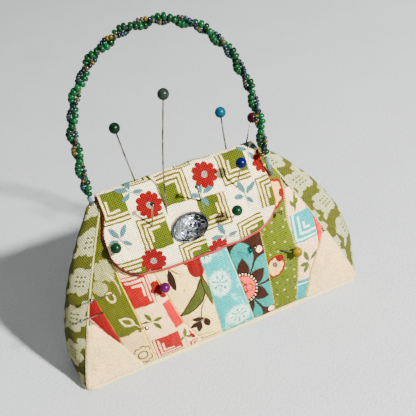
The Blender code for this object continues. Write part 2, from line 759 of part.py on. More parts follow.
def front_pieces(felt):
    """The patchwork front: seven strips, two slivers and two felt corners."""
    cloth = {
        "olive_leaf": (0.28, 0.32, 0.05), "coral_squares": (0.86, 0.22, 0.22), "tulip": (0.85, 0.78, 0.66),
        "turquoise_dandelion": (0.24, 0.68, 0.78), "brown_petal": (0.10, 0.03, 0.02),
        "olive_apple": (0.30, 0.34, 0.05), "cream_squares": (0.84, 0.80, 0.70),
    }
    strips = (
        ("olive_leaf", strip_1_left, seam_1, 2, SHOULDER_Z),
        ("coral_squares", seam_1, seam_2, 3, SHOULDER_Z),
        ("tulip", seam_2, seam_3, 3, SHOULDER_Z),
        ("turquoise_dandelion", seam_3, seam_4, 2, SHOULDER_Z),
        ("brown_petal", seam_4, seam_5, 3, SHOULDER_Z),
        ("olive_apple", seam_5, strip_6_right, 3, SHOULDER_Z),
        ("cream_squares", strip_6_right, strip_7_right, 2, CREAM_STRIP_TOP),
    )
    pieces = []
    for name, left, right, columns, top in strips:
        material = make_material("cotton_" + name, cloth[name], 0.85)
        pieces.append(face_panel("strip_" + name, left, right, PANEL_BOTTOM, top, columns, -1, material))
    red = make_material("cotton_red", (0.75, 0.01, 0.02), 0.85)
    coral = make_material("cotton_coral", (0.85, 0.13, 0.12), 0.85)
    pieces.append(face_panel("sliver_red", red_left, red_edge, *SLIVER_RED_SPAN, 1, -1, red))
    pieces.append(face_panel("sliver_coral", coral_edge, coral_right, *SLIVER_CORAL_SPAN, 1, -1, coral))
    pieces += felt_corners("front", -1, felt)
    return pieces


def felt_corners(where, side, felt):
    """The two felt pieces over the lower corners of one face."""
    left = face_panel("felt_corner_" + where + "_left", left_seam, felt_left_edge, PANEL_BOTTOM,
                      FELT_LEFT_TOP, 3, side, felt, FELT, FELT_PROUD)
    right = face_panel("felt_corner_" + where + "_right", felt_right_edge, right_seam, PANEL_BOTTOM,
                       FELT_RIGHT_TOP, 3, side, felt, FELT, FELT_PROUD)
    return [left, right]


def back_pieces(felt):
    """The back: one panel of cotton and two felt corners."""
    cotton = make_material("cotton_back", (0.28, 0.32, 0.06), 0.85)
    panel = face_panel("back_panel", red_left, coral_right, PANEL_BOTTOM, SHOULDER_Z, 8, 1, cotton)
    return [panel] + felt_corners("back", 1, felt)


def body_pieces():
    """The stuffed body, with everything the pins may run through."""
    felt = make_material("felt_cream", (0.80, 0.71, 0.54), 0.95)
    print_cloth = make_material("cotton_floral", (0.30, 0.34, 0.08), 0.85)
    fibre = make_material("fibre_fill", (0.85, 0.85, 0.83), 0.95)
    card = make_material("card", (0.55, 0.42, 0.27), 0.9)
    base_plate("base_felt", BASE_HALF_WIDTH + BASE_MARGIN, BASE_HALF_DEPTH + BASE_MARGIN, 0.0, BASE_FELT,
               BASE_CORNER, felt)
    inset = COTTON + 2 * GAP + 1.0
    base_plate("base_card", BASE_HALF_WIDTH - inset, BASE_HALF_DEPTH - inset, CARD_BOTTOM, BASE_CARD,
               BASE_CORNER - 1.0, card)
    pieces = front_pieces(felt) + back_pieces(felt)
    pieces += [gusset_panel("gusset_left", -1, print_cloth), gusset_panel("gusset_right", 1, print_cloth)]
    pieces += [ridge_panel(print_cloth), stuffing(fibre), ridge_filling(fibre)]
    return pieces


def flap_pieces():
    """The print flap and the lining under it."""
    lining = make_material("flap_lining_cotton", (0.82, 0.28, 0.22), 0.85)
    print_cloth = make_material("flap_print_cotton", (0.80, 0.78, 0.68), 0.85)
    return [
        flap_layer("flap_lining", GAP, LINING, LINING_SHOWS, lining),
        flap_layer("flap_outer", GAP + LINING + GAP, COTTON, 0.0, print_cloth),
    ]


def button_pieces():
    """The oval button and its thread."""
    frame = button_frame()
    button_setting(frame, make_material("button_metal", (0.35, 0.35, 0.37), 0.3, 1.0))
    button_gem(frame, make_material("silver_foil", (0.75, 0.76, 0.78), 0.15, 1.0))
    button_thread(frame, make_material("button_thread", (0.82, 0.80, 0.75), 0.8))


def pin_pieces():
    """All the pins."""
    steel = make_material("pin_steel", (0.62, 0.62, 0.62), 0.25, 1.0)
    colours = {
        "green_tall": (0.01, 0.12, 0.05), "grey_long": (0.08, 0.12, 0.10), "turquoise": (0.02, 0.38, 0.52),
        "plum": (0.16, 0.01, 0.07), "navy": (0.01, 0.01, 0.16), "emerald": (0.0, 0.20, 0.10),
        "leaf_green": (0.0, 0.18, 0.09), "magenta": (0.42, 0.01, 0.30), "yellow": (0.55, 0.42, 0.03),
    }
    for name, (layer, place, to_head, inside, _) in PEARL_PINS.items():
        pearl = make_material("pearl_" + name, colours[name], 0.2)
        pearl_pin(name, pin_entry(layer, place), to_head, inside, steel, pearl)
    for name, (layer, place, to_head, inside) in STEEL_PINS.items():
        steel_pin(name, pin_entry(layer, place), to_head, inside, steel)


def build():
    pierced = body_pieces() + flap_pieces()
    button_pieces()
    pin_pieces()
    handle(make_material("beads_green", (0.0, 0.16, 0.04), 0.15),
           make_material("beads_iridescent", (0.20, 0.24, 0.24), 0.15),
           make_material("end_bead_blue", (0.35, 0.50, 0.55), 0.2),
           make_material("sewing_thread", (0.30, 0.30, 0.24), 0.8))
    cutter = channel_cutter(make_material("cutter", (1.0, 0.0, 0.0), 0.5))
    for piece in pierced:
        cut_away(piece, cutter)


build()
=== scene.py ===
import json
import math

import bpy
import numpy as np
from mathutils import Matrix, Vector


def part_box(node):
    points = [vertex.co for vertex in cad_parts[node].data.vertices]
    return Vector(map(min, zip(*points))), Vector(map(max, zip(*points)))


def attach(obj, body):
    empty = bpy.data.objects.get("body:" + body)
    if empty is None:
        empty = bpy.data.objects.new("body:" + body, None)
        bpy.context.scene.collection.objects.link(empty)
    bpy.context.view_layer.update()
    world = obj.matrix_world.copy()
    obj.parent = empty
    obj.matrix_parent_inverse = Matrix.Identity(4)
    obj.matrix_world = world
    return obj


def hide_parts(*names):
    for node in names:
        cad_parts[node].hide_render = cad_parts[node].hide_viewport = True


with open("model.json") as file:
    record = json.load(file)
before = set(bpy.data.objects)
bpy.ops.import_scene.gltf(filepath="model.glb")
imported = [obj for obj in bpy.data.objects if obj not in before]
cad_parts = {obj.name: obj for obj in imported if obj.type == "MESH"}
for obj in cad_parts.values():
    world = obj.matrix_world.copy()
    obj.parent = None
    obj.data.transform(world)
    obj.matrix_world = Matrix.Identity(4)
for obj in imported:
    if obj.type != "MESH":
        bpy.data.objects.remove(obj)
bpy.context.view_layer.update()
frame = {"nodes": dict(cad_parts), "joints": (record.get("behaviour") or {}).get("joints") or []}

# The pin cushion bag: its cloth, felt, flap, button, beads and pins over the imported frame.
# Lengths are in millimetres and become metres in the meshes. The front faces -Y.

MM = 0.001
RNG = np.random.default_rng(11)

# The body's shape, as its CAD solids have it.
BASE_HALF_WIDTH = 59.3
RIDGE_HALF_WIDTH = 31.0
SIDE_CURVE = 1.2
BASE_HALF_DEPTH = 15.0
RIDGE_HALF_DEPTH = 2.3
RIDGE_LEAN = -2.7
SHOULDER_Z = 70.0
RIDGE_RISE = 1.2
FACE_BULGE = 4.0
GUSSET_BULGE_LEFT = 7.4
GUSSET_BULGE_RIGHT = 12.3
GUSSET_FULLNESS = 0.6
LEFT_FULL_ABOVE = 12.0
RIDGE_SAG = 1.2
GAP = 0.3
COTTON = 0.8
LINING = 0.5
FLAP_STACK = GAP + LINING + GAP + COTTON
BASE_TOP = 1.8

FLAP_HALF_WIDTH = 30.6
FLAP_CENTRE = -0.6
FLAP_FLARE = 1.9
FLAP_DRIFT = -0.7
FLAP_FLARE_TOP = 68.0
FLAP_FLARE_BOTTOM = 58.0
FLAP_EDGE_Z = 42.2
FLAP_EDGE_X = -2.0
FLAP_EDGE_CURVE = 0.0015
FLAP_CORNER = 10.0
FLAP_BACK_Z = 58.0
FLAP_ARC = math.pi * (RIDGE_HALF_DEPTH + RIDGE_RISE) / 2
FLAP_OVER_RIDGE = FLAP_ARC + math.pi * FLAP_STACK
LONG_PIN_FOOT = (-9.2, 60.8)    # where the longest pin presses the flap down
LINING_SHOWS = 1.30            # how far the lining shows below the flap, and at its sides
LINING_SHOWS_SIDE = 0.40

STUFFING_INSET = 1.3            # how far the stuffing's mesh lies inside the cloth
SWELLING_LIMIT = 1.3            # the most that the simulated stuffing may push the cloth out
STUFFING_COLUMNS = 45           # points across each face of the stuffing's mesh
STUFFING_THROUGH = 9            # points between the faces on each of its sides
SIM_FRAMES = 20
SIM_PRESSURE = 12.0
SIM_SCALE = 10.0                # the cloth solver works on the stuffing enlarged this many times

BUTTON_TILT = math.radians(14.0)

# How a dye's look in studio light becomes the share of light that it gives back.
LIT = 4.4                   # light that falls on the front
WHITEST = 0.84
HAZE = 0.12                 # share of white that bright light adds to every dye
STRONG = 0.5                # above this, a rich dye is held back so that it keeps its colour

CAMERA_AZIMUTH = -12.0      # degrees round from the front, up from level, and tipped sideways
CAMERA_ELEVATION = 36.0
CAMERA_ROLL = 14.53
CAMERA_DISTANCE = 320.0
CAMERA_AIM = (0.0, 0.0, 40.0)
CAMERA_LENS = 71.7
CAMERA_SHIFT = (0.0345, 0.0688)

# Name: the direction it shines from, its distance and size in metres, its power and its colour.
LAMPS = {
    "key": ((0.42, -0.72, 0.55), 1.1, 0.06, 72.0, (1.0, 0.99, 0.975)),
    "second": ((0.10, -0.90, 0.40), 1.2, 0.35, 2.0, (0.97, 0.98, 1.0)),
    "top": ((0.1, 0.2, 1.0), 1.0, 0.8, 2.5, (1.0, 1.0, 1.0)),
    "behind": ((-0.35, 0.85, 0.5), 1.2, 0.6, 2.0, (1.0, 1.0, 1.0)),
}
LAMP_AIM = (0.0, 0.0, 0.045)
WORLD_COLOUR = (0.86, 0.865, 0.87, 1.0)
WORLD_STRENGTH = 0.26

HANDLE_ROUTE = (
    (-33.8, -3.2, 76.6), (-32.8, -3.1, 89.6), (-31.2, -2.8, 103.6), (-25.4, -2.6, 115.4),
    (-16.6, -2.3, 124.2), (-4.4, -2.0, 128.6), (8.8, -1.9, 127.2), (19.4, -2.1, 120.9),
    (27.0, -2.6, 110.6), (31.3, -3.2, 98.0), (32.4, -5.6, 86.0), (31.6, -8.4, 76.2),
    (31.0, -10.0, 69.8),
)
STRAND_OFFSET = 1.06
TWIST_PITCH = 13.7


# --- Camera, floor and light --------------------------------------------------------------------

def make_camera():
    """A camera at the photograph's viewing angle."""
    azimuth, elevation, roll = (math.radians(v) for v in (CAMERA_AZIMUTH, CAMERA_ELEVATION, CAMERA_ROLL))
    back = Vector((math.sin(azimuth) * math.cos(elevation), -math.cos(azimuth) * math.cos(elevation),
                   math.sin(elevation)))
    right = Vector((math.cos(azimuth), math.sin(azimuth), 0.0))
    up = back.cross(right)
    across = right * math.cos(roll) - up * math.sin(roll)
    upward = right * math.sin(roll) + up * math.cos(roll)
    data = bpy.data.cameras.new("view")
    data.sensor_width = 36.0
    data.lens = CAMERA_LENS
    data.shift_x, data.shift_y = CAMERA_SHIFT
    data.clip_start = 0.01
    camera = bpy.data.objects.new("view", data)
    turn = Matrix((across, upward, back)).transposed().to_4x4()
    camera.matrix_world = Matrix.Translation((Vector(CAMERA_AIM) + back * CAMERA_DISTANCE) * MM) @ turn
    bpy.context.scene.collection.objects.link(camera)
    bpy.context.scene.camera = camera


def area_light(name, towards, distance, size, power, colour):
    """A soft square lamp that shines at the bag from one direction."""
    data = bpy.data.lights.new(name, "AREA")
    data.size = size
    data.energy = power
    data.color = colour
    lamp = bpy.data.objects.new(name, data)
    way = Vector(towards).normalized()
    lamp.location = Vector(LAMP_AIM) + way * distance
    lamp.rotation_euler = way.to_track_quat("Z", "Y").to_euler()
    bpy.context.scene.collection.objects.link(lamp)


def make_light():
    """The lamps, and a pale even light from all round."""
    for name, values in LAMPS.items():
        area_light(name, *values)
    world = bpy.data.worlds.new("studio")
    world.use_nodes = True
    background = world.node_tree.nodes["Background"]
    background.inputs["Color"].default_value = WORLD_COLOUR
    background.inputs["Strength"].default_value = WORLD_STRENGTH
    bpy.context.scene.world = world


# --- Node materials -----------------------------------------------------------------------------

def linear(code):
    """How much light a surface gives back, from a code such as 8E9A2A for how it looks when well lit."""
    looks = [int(code[i:i + 2], 16) / 255 for i in (0, 2, 4)]
    light = [2.0 ** (-5.54 + 6.74 * k + 13.3 * (k - 0.5) ** 3 + 37.5 * (k - 0.5) ** 5) for k in looks]
    haze = HAZE * sum(light) / 3
    rich = (max(looks) - min(looks)) / max(max(looks), 0.01)
    deep = [max((value - haze) / (1.0 - HAZE), 0.002) for value in light]
    held = [v if v < STRONG else STRONG * (v / STRONG) ** (1.0 - 0.75 * rich) for v in deep]
    most = max(LIT, max(held) / WHITEST)
    return tuple(value / most for value in held) + (1.0,)


class Num:
    """A number in a node tree, worked on with the usual operators."""

    def __init__(self, paint, socket):
        self.paint = paint
        self.socket = socket

    def __add__(self, other):
        return self.paint.math("ADD", self, other)

    def __radd__(self, other):
        return self.paint.math("ADD", other, self)

    def __sub__(self, other):
        return self.paint.math("SUBTRACT", self, other)

    def __rsub__(self, other):
        return self.paint.math("SUBTRACT", other, self)

    def __mul__(self, other):
        return self.paint.math("MULTIPLY", self, other)

    def __rmul__(self, other):
        return self.paint.math("MULTIPLY", other, self)

    def __truediv__(self, other):
        return self.paint.math("DIVIDE", self, other)

    def __pow__(self, other):
        return self.paint.math("POWER", self, other)

    def __abs__(self):
        return self.paint.math("ABSOLUTE", self)

    def lower(self, other):
        return self.paint.math("MINIMUM", self, other)

    def higher(self, other):
        return self.paint.math("MAXIMUM", self, other)

    def below(self, other):
        return self.paint.math("LESS_THAN", self, other)

    def above(self, other):
        return self.paint.math("GREATER_THAN", self, other)

    def floor(self):
        return self.paint.math("FLOOR", self)

    def cosine(self):
        return self.paint.math("COSINE", self)

    def sine(self):
        return self.paint.math("SINE", self)

    def cover(self, sharpness=6.0):
        """1 where the number is above 0 and 0 below, with a narrow soft edge."""
        return self.paint.math("MULTIPLY_ADD", self, sharpness, 0.5, clamp=True)


class Paint:
    """One material under construction: its nodes, its pattern coordinates and its layers of dye."""

    def __init__(self, name):
        self.material = bpy.data.materials.new(name)
        self.material.use_nodes = True
        self.tree = self.material.node_tree
        self.shader = self.tree.nodes["Principled BSDF"]
        self.vector = None
        self.u = None
        self.v = None
        self.edge = None
        self.colour = None

    def put(self, socket, value):
        if isinstance(value, Num):
            self.tree.links.new(value.socket, socket)
        elif isinstance(value, bpy.types.NodeSocket):
            self.tree.links.new(value, socket)
        else:
            socket.default_value = value

    def node(self, kind, settings=None, **inputs):
        made = self.tree.nodes.new(kind)
        for key, value in (settings or {}).items():
            setattr(made, key, value)
        for key, value in inputs.items():
            self.put(made.inputs[key], value)
        return made

    def math(self, operation, a, b=0.0, c=0.0, clamp=False):
        made = self.tree.nodes.new("ShaderNodeMath")
        made.operation = operation
        made.use_clamp = clamp
        for socket, value in zip(made.inputs, (a, b, c)):
            self.put(socket, value)
        return Num(self, made.outputs[0])

    def set(self, **values):
        """Constant values straight on the shader's sockets."""
        for key, value in values.items():
            self.shader.inputs[key.replace("_", " ")].default_value = value

    def attribute(self, name):
        return self.node("ShaderNodeAttribute", {"attribute_name": name})

    def in_object(self):
        """Coordinates in the object's own space, in metres."""
        return self.node("ShaderNodeTexCoord").outputs["Object"]

    def noise(self, scale, detail=2.0, vector=None):
        made = self.node("ShaderNodeTexNoise", None, Scale=scale, Detail=detail)
        self.put(made.inputs["Vector"], self.vector if vector is None else vector)
        return Num(self, made.outputs["Fac"])

    def cloth(self, wobble=0.35, scale=0.35):
        """Read the cloth coordinates in millimetres, with a small printing wobble."""
        plain = self.attribute("cloth").outputs["Vector"]
        noise = self.node("ShaderNodeTexNoise", None, Vector=plain, Scale=scale, Detail=2.0)
        centred = self.node("ShaderNodeVectorMath", {"operation": "SUBTRACT"})
        self.put(centred.inputs[0], noise.outputs["Color"])
        centred.inputs[1].default_value = (0.5, 0.5, 0.5)
        moved = self.node("ShaderNodeVectorMath", {"operation": "MULTIPLY_ADD"})
        self.put(moved.inputs[0], centred.outputs[0])
        moved.inputs[1].default_value = (wobble * 2, wobble * 2, 0.0)
        self.put(moved.inputs[2], plain)
        self.vector = moved.outputs[0]
        parts = self.node("ShaderNodeSeparateXYZ", None, Vector=self.vector)
        self.u, self.v, self.edge = (Num(self, socket) for socket in parts.outputs)
        plain_parts = self.node("ShaderNodeSeparateXYZ", None, Vector=plain)
        self.plain_u, self.plain_v = (Num(self, socket) for socket in plain_parts.outputs[:2])
        return self

    def local(self, centre, size=(1.0, 1.0), turn=0.0, vector=None):
        """Coordinates about a centre, turned by an angle in degrees and measured in a shape's half sizes."""
        made = self.node("ShaderNodeMapping", {"vector_type": "TEXTURE"},
                         Location=(centre[0], centre[1], 0.0), Rotation=(0.0, 0.0, math.radians(turn)),
                         Scale=(size[0], size[1], 1.0))
        self.put(made.inputs["Vector"], self.vector if vector is None else vector)
        return made.outputs[0]

    def split(self, vector):
        parts = self.node("ShaderNodeSeparateXYZ", None, Vector=vector)
        return Num(self, parts.outputs[0]), Num(self, parts.outputs[1])

    def polar(self, centre, size=(1.0, 1.0), turn=0.0, vector=None):
        """Distance from a centre, flattened onto the cloth, and the angle round it."""
        x, y = self.split(self.local(centre, size, turn, vector))
        return self.math("SQRT", x * x + y * y), self.math("ARCTAN2", y, x)

    def ellipse(self, centre, size, turn=0.0, vector=None):
        x, y = self.split(self.local(centre, size, turn, vector))
        return (1.0 - (x * x + y * y)).cover(4.0 * min(size))

    def box(self, centre, size, turn=0.0, vector=None):
        x, y = self.split(self.local(centre, size, turn, vector))
        return (1.0 - abs(x).higher(abs(y))).cover(6.0 * min(size))

    def along(self, start, end, half_width, vector=None):
        """Coordinates that run from -1 to 1 between two points, and across by a half width."""
        dx, dy = end[0] - start[0], end[1] - start[1]
        centre = ((start[0] + end[0]) / 2, (start[1] + end[1]) / 2)
        size = (math.hypot(dx, dy) / 2, half_width)
        return self.split(self.local(centre, size, math.degrees(math.atan2(dy, dx)), vector))

    def leaf(self, start, end, width, bend=0.0, vector=None):
        """A pointed leaf between two points, its middle bent to the left by so many millimetres."""
        x, y = self.along(start, end, width, vector)
        rise = 1.0 - x * x
        return rise - abs(y - rise * (bend / width))

    def stroke(self, start, end, thickness, bend=0.0, vector=None):
        """A drawn line between two points, bent to the left at its middle."""
        half = thickness / 2
        x, y = self.along(start, end, half, vector)
        line = abs(y - (1.0 - x * x) * (bend / half)) if bend else abs(y)
        return (1.0 - line.higher(abs(x))).cover(4.0 * half)

    def sprig(self, root, leaves, stem, vector=None):
        """A stem with leaves, given as (start, end, width)."""
        cover = self.stroke(root, stem, 0.35, 0.0, vector)
        for start, end, width in leaves:
            cover = cover.higher(self.leaf(start, end, width, 0.0, vector).cover(4.0 * width))
        return cover

    def petals(self, centre, radius, count, depth, phase=0.0, vector=None):
        """A flower's outline with rounded petals, above 0 inside."""
        distance, angle = self.polar(centre, (1.0, 1.0), 0.0, vector)
        scallop = abs((angle * (count / 2.0) + phase).cosine()) ** 0.6
        return (scallop * (depth * radius) + (1.0 - depth) * radius) - distance

    def nested(self, centre, size, signs, lines, turn=0.0):
        """Nested angle lines inside a square: signs point to their corner, and each line is given as
        its distance from that corner's sides, its width and how far it runs, in half sizes."""
        x, y = self.split(self.local(centre, size, turn))
        a, b = x * signs[0], y * signs[1]
        near = a.higher(b)
        far = a.lower(b)
        cover = None
        for level, width, reach in lines:
            line = (width - abs(near - level)).lower(far + reach).cover(8.0 * min(size) / 2)
            cover = line if cover is None else cover.higher(line)
        return cover

    def ground(self, code):
        self.colour = linear(code)

    def dye(self, cover, code):
        """Lay a colour over what is there, where the cover says."""
        mix = self.node("ShaderNodeMix", {"data_type": "RGBA"})
        self.put(mix.inputs[0], cover)
        self.put(mix.inputs[6], self.colour)
        mix.inputs[7].default_value = linear(code)
        self.colour = mix.outputs[2]

    def tint(self, factor):
        """Multiply the colour by a number round 1."""
        scaled = self.node("ShaderNodeVectorMath", {"operation": "SCALE"})
        self.put(scaled.inputs[0], self.colour if not isinstance(self.colour, tuple) else self.colour[:3])
        self.put(scaled.inputs["Scale"], factor)
        self.colour = scaled.outputs[0]

    def bump(self, height, strength, distance):
        made = self.node("ShaderNodeBump", None, Strength=strength, Distance=distance, Height=height)
        if self.shader.inputs["Normal"].is_linked:
            self.put(made.inputs["Normal"], self.shader.inputs["Normal"].links[0].from_socket)
        self.put(self.shader.inputs["Normal"], made.outputs[0])

    def finish(self):
        self.put(self.shader.inputs["Base Color"], self.colour)
        return self.material


def woven(paint, pitch=0.96, strength=0.8, depth=0.00024):
    """Plain weave: threads over and under both ways, thicker and thinner yarns, and uneven dye."""
    turn = 2.0 * math.pi / pitch
    over = (paint.plain_u * turn).sine() * (paint.plain_v * turn).sine()
    yarns = None
    for stretch in ((0.16, 1.9, 1.0), (1.9, 0.16, 1.0)):
        drawn = paint.node("ShaderNodeMapping", None, Scale=stretch)
        paint.put(drawn.inputs["Vector"], paint.attribute("cloth").outputs["Vector"])
        yarn = paint.noise(1.0, 2.0, drawn.outputs[0])
        yarns = yarn if yarns is None else yarns + yarn
    slub = paint.noise(2.2, 3.0)
    patch = paint.noise(0.16, 2.0)
    paint.tint(over.lower(0.55) * 0.62 + yarns * 0.70 + slub * 0.24 + patch * 0.22 + 0.02)
    paint.bump(over + yarns * 1.6 + slub * 0.6, strength, depth)
    paint.set(Roughness=0.9, Sheen_Weight=0.03, Sheen_Roughness=0.5)
    paint.set(Specular_IOR_Level=0.08)


def sewn_cotton(paint, code, width, **weave):
    """Finish a printed strip: the pale turned edge along its seams, and its weave."""
    paint.dye((width - paint.edge).cover(8.0) * 0.75, code)
    woven(paint, **weave)
    return paint.finish()


# --- Surfaces -----------------------------------------------------------------------------------

def smooth_noise(x, z, scale, seed):
    """Slow irregular waves, mostly between -1 and 1."""
    total = np.zeros_like(np.asarray(x, dtype=float))
    for k in range(4):
        angle = 1.3 + 2.4 * k + seed
        pitch = scale * (1.0 - 0.17 * k)
        total = total + np.sin((np.cos(angle) * x + np.sin(angle) * z) * 2 * math.pi / pitch + 1.7 * k + seed)
    return total / 2.6


def side_x(z):
    """Half the body's width at height z."""
    share = np.clip(np.asarray(z, dtype=float) / SHOULDER_Z, 0.0, 1.0)
    return BASE_HALF_WIDTH + (RIDGE_HALF_WIDTH - BASE_HALF_WIDTH) * share ** SIDE_CURVE


def half_depth(z):
    """Half the body's depth at height z."""
    z = np.asarray(z, dtype=float)
    below = BASE_HALF_DEPTH + (RIDGE_HALF_DEPTH - BASE_HALF_DEPTH) * z / SHOULDER_Z
    rise = np.clip((z - SHOULDER_Z) / RIDGE_RISE, 0.0, 1.0)
    return np.where(z > SHOULDER_Z, RIDGE_HALF_DEPTH * np.sqrt(1.0 - rise * rise), below)


def swell(z):
    """0 at the base and the shoulder, and 1 half way up."""
    return np.sin(np.pi * np.clip(np.asarray(z, dtype=float) / SHOULDER_Z, 0.0, 1.0))


def middle_y(z):
    """Where the middle of the body lies at height z, as it leans forwards."""
    return RIDGE_LEAN * np.clip(np.asarray(z, dtype=float) / SHOULDER_Z, 0.0, 1.0)


def gusset_bulge(z, side):
    """How far the left (side -1) or right (side 1) panel bulges at height z."""
    if side < 0:
        full = np.sin(np.pi * np.clip(np.asarray(z, dtype=float) / (SHOULDER_Z + LEFT_FULL_ABOVE), 0.0, 1.0))
        bulge = GUSSET_BULGE_LEFT * full ** GUSSET_FULLNESS
    else:
        bulge = GUSSET_BULGE_RIGHT * swell(z) ** GUSSET_FULLNESS
    return bulge * (half_depth(np.maximum(z, SHOULDER_Z)) / RIDGE_HALF_DEPTH) ** 2


def settled(x, y, z):
    """Points in the frame, with the ridge tipped as the stuffing has settled."""
    x, y, z = np.broadcast_arrays(x, y, z)
    return np.stack([x, y, z - RIDGE_SAG * (x / RIDGE_HALF_WIDTH) * (z / SHOULDER_Z)], axis=-1)


class Stuffing:
    """How far the stuffing pushes the cloth out beyond its cut shape.

    It is read off the simulated body.
    """

    def __init__(self):
        self.front = None
        self.back = None
        self.sides = None
        self.levels = None

    def look_up(self, table, across, z):
        rows = np.interp(z, self.levels, np.arange(len(self.levels)))
        columns = (np.clip(across, -1.0, 1.0) + 1.0) / 2.0 * (table.shape[1] - 1)
        r0 = np.clip(rows.astype(int), 0, table.shape[0] - 2)
        c0 = np.clip(columns.astype(int), 0, table.shape[1] - 2)
        fr, fc = rows - r0, columns - c0
        return ((1 - fr) * (1 - fc) * table[r0, c0] + (1 - fr) * fc * table[r0, c0 + 1]
                + fr * (1 - fc) * table[r0 + 1, c0] + fr * fc * table[r0 + 1, c0 + 1])

    def face(self, x, z, side):
        across = x / side_x(z)
        if self.front is None:
            return 0.35 * (1.0 - np.clip(abs(across), 0, 1) ** 6) * swell(z) ** 0.5
        return self.look_up(self.front if side < 0 else self.back, across, z)

    def gusset(self, y, z, side):
        across = y / np.maximum(half_depth(z), 0.5)
        if self.sides is None:
            return 0.3 * (1.0 - np.clip(abs(across), 0, 1) ** 4) * swell(z) ** 0.5
        return self.look_up(self.sides[0] if side < 0 else self.sides[1], across, z)


stuffing = Stuffing()


def face_points(x, z, side, lift):
    """Points on the front (side -1) or the back (side 1) cloth, lifted outwards."""
    across = np.clip(abs(x) / side_x(z), 0.0, 1.0)
    depth = half_depth(z) + FACE_BULGE * (1.0 - across * across) * swell(z)
    ripple = 0.14 * smooth_noise(x, z, 9.0, 0.4) + 0.18 * smooth_noise(x, z, 21.0, 2.0)
    ripple = ripple * np.clip(swell(z) * 3.0, 0.0, 1.0)
    return settled(x, middle_y(z) + side * (depth + stuffing.face(x, z, side) + ripple + lift), z)


def gusset_points(off, z, side, lift):
    """Points on a side panel, at a distance off the body's middle plane."""
    reach = np.maximum(half_depth(z), 1e-3)
    across = np.clip(abs(off) / reach, 0.0, 1.0)
    out = side_x(z) + gusset_bulge(z, side) * (1.0 - across * across)
    ripple = 0.16 * smooth_noise(off, z, 8.0, 1.4) * swell(z)
    return settled(side * (out + stuffing.gusset(off, z, side) + ripple + lift), middle_y(z) + off, z)


# --- Mesh helpers -------------------------------------------------------------------------------

def mesh_object(name, points, faces, material, smooth=True, layers=None, sharp=None):
    """An object from points in millimetres, with optional per-point vectors or numbers."""
    mesh = bpy.data.meshes.new(name)
    mesh.from_pydata((np.asarray(points) * MM).tolist(), [], faces)
    for key, values in (layers or {}).items():
        values = np.asarray(values, dtype=np.float32)
        kind = "FLOAT_VECTOR" if values.ndim == 2 else "FLOAT"
        layer = mesh.attributes.new(key, kind, "POINT")
        layer.data.foreach_set("vector" if kind == "FLOAT_VECTOR" else "value", values.ravel())
    if smooth:
        mesh.shade_smooth()
        if sharp:
            mesh.set_sharp_from_angle(angle=math.radians(sharp))
    mesh.materials.append(material)
    made = bpy.data.objects.new(name, mesh)
    bpy.context.scene.collection.objects.link(made)
    return made


def settle_in(piece, body, slot, *nodes):
    """Ride a body, and stand for CAD nodes by hiding them. The slot is not used."""
    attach(piece, body)
    if nodes:
        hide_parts(*nodes)
    return piece


def shell(name, outer, inner, cloth, material):
    """Two skins of points joined round their border, as one closed piece of cloth."""
    rows, columns = outer.shape[:2]
    size = rows * columns
    index = np.arange(size).reshape(rows, columns)
    a, b, c, d = index[:-1, :-1], index[:-1, 1:], index[1:, 1:], index[1:, :-1]
    quads = np.stack([a, b, c, d], axis=-1).reshape(-1, 4)
    rim = np.concatenate([index[0, :-1], index[:-1, -1], index[-1, :0:-1], index[:0:-1, 0]])
    following = np.roll(rim, -1)
    border = np.stack([rim, rim + size, following + size, following], axis=-1)
    faces = np.concatenate([quads, quads[:, ::-1] + size, border])
    points = np.concatenate([outer.reshape(-1, 3), inner.reshape(-1, 3)])
    first = points[faces[0]]
    normal = np.cross(first[1] - first[0], first[3] - first[0])
    if np.dot(normal, outer[0, 0] - inner[0, 0]) < 0:
        faces = faces[:, ::-1]
    layer = np.concatenate([cloth.reshape(-1, 3)] * 2)
    return mesh_object(name, points, faces.tolist(), material, layers={"cloth": layer})


def node_box(node):
    """A CAD node's lowest and highest corners, in millimetres."""
    low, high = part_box(node)
    return np.array(low) / MM, np.array(high) / MM


def node_mesh(node):
    """A CAD node's points in millimetres, and its edges."""
    mesh = frame["nodes"][node].data
    points = np.empty(len(mesh.vertices) * 3)
    mesh.vertices.foreach_get("co", points)
    edges = np.empty(len(mesh.edges) * 2, dtype=int)
    mesh.edges.foreach_get("vertices", edges)
    return points.reshape(-1, 3) / MM, edges.reshape(-1, 2)


def panel_outline(node, step):
    """Heights up a CAD panel, and its least and greatest x at each, before settling."""
    points, edges = node_mesh(node)
    x = points[:, 0]
    z = points[:, 2] / (1.0 - RIDGE_SAG * x / (RIDGE_HALF_WIDTH * SHOULDER_Z))
    low, high = z.min(), z.max()
    heights = np.linspace(low, high, max(int((high - low) / step), 2) + 1)
    lefts, rights = [], []
    for height in np.clip(heights, low + 0.01, high - 0.01):
        start, end = z[edges[:, 0]], z[edges[:, 1]]
        crossing = (start - height) * (end - height) < 0
        share = (height - start[crossing]) / (end[crossing] - start[crossing])
        a, b = edges[crossing].T
        where = x[a] + (x[b] - x[a]) * share
        lefts.append(where.min())
        rights.append(where.max())
    return heights, np.array(lefts), np.array(rights)


def rounding(distance, radius):
    """How far a surface drops near its edge, so that the edge is round."""
    inward = np.clip(radius - distance, 0.0, radius)
    return radius - np.sqrt(np.maximum(radius * radius - inward * inward, 0.0))


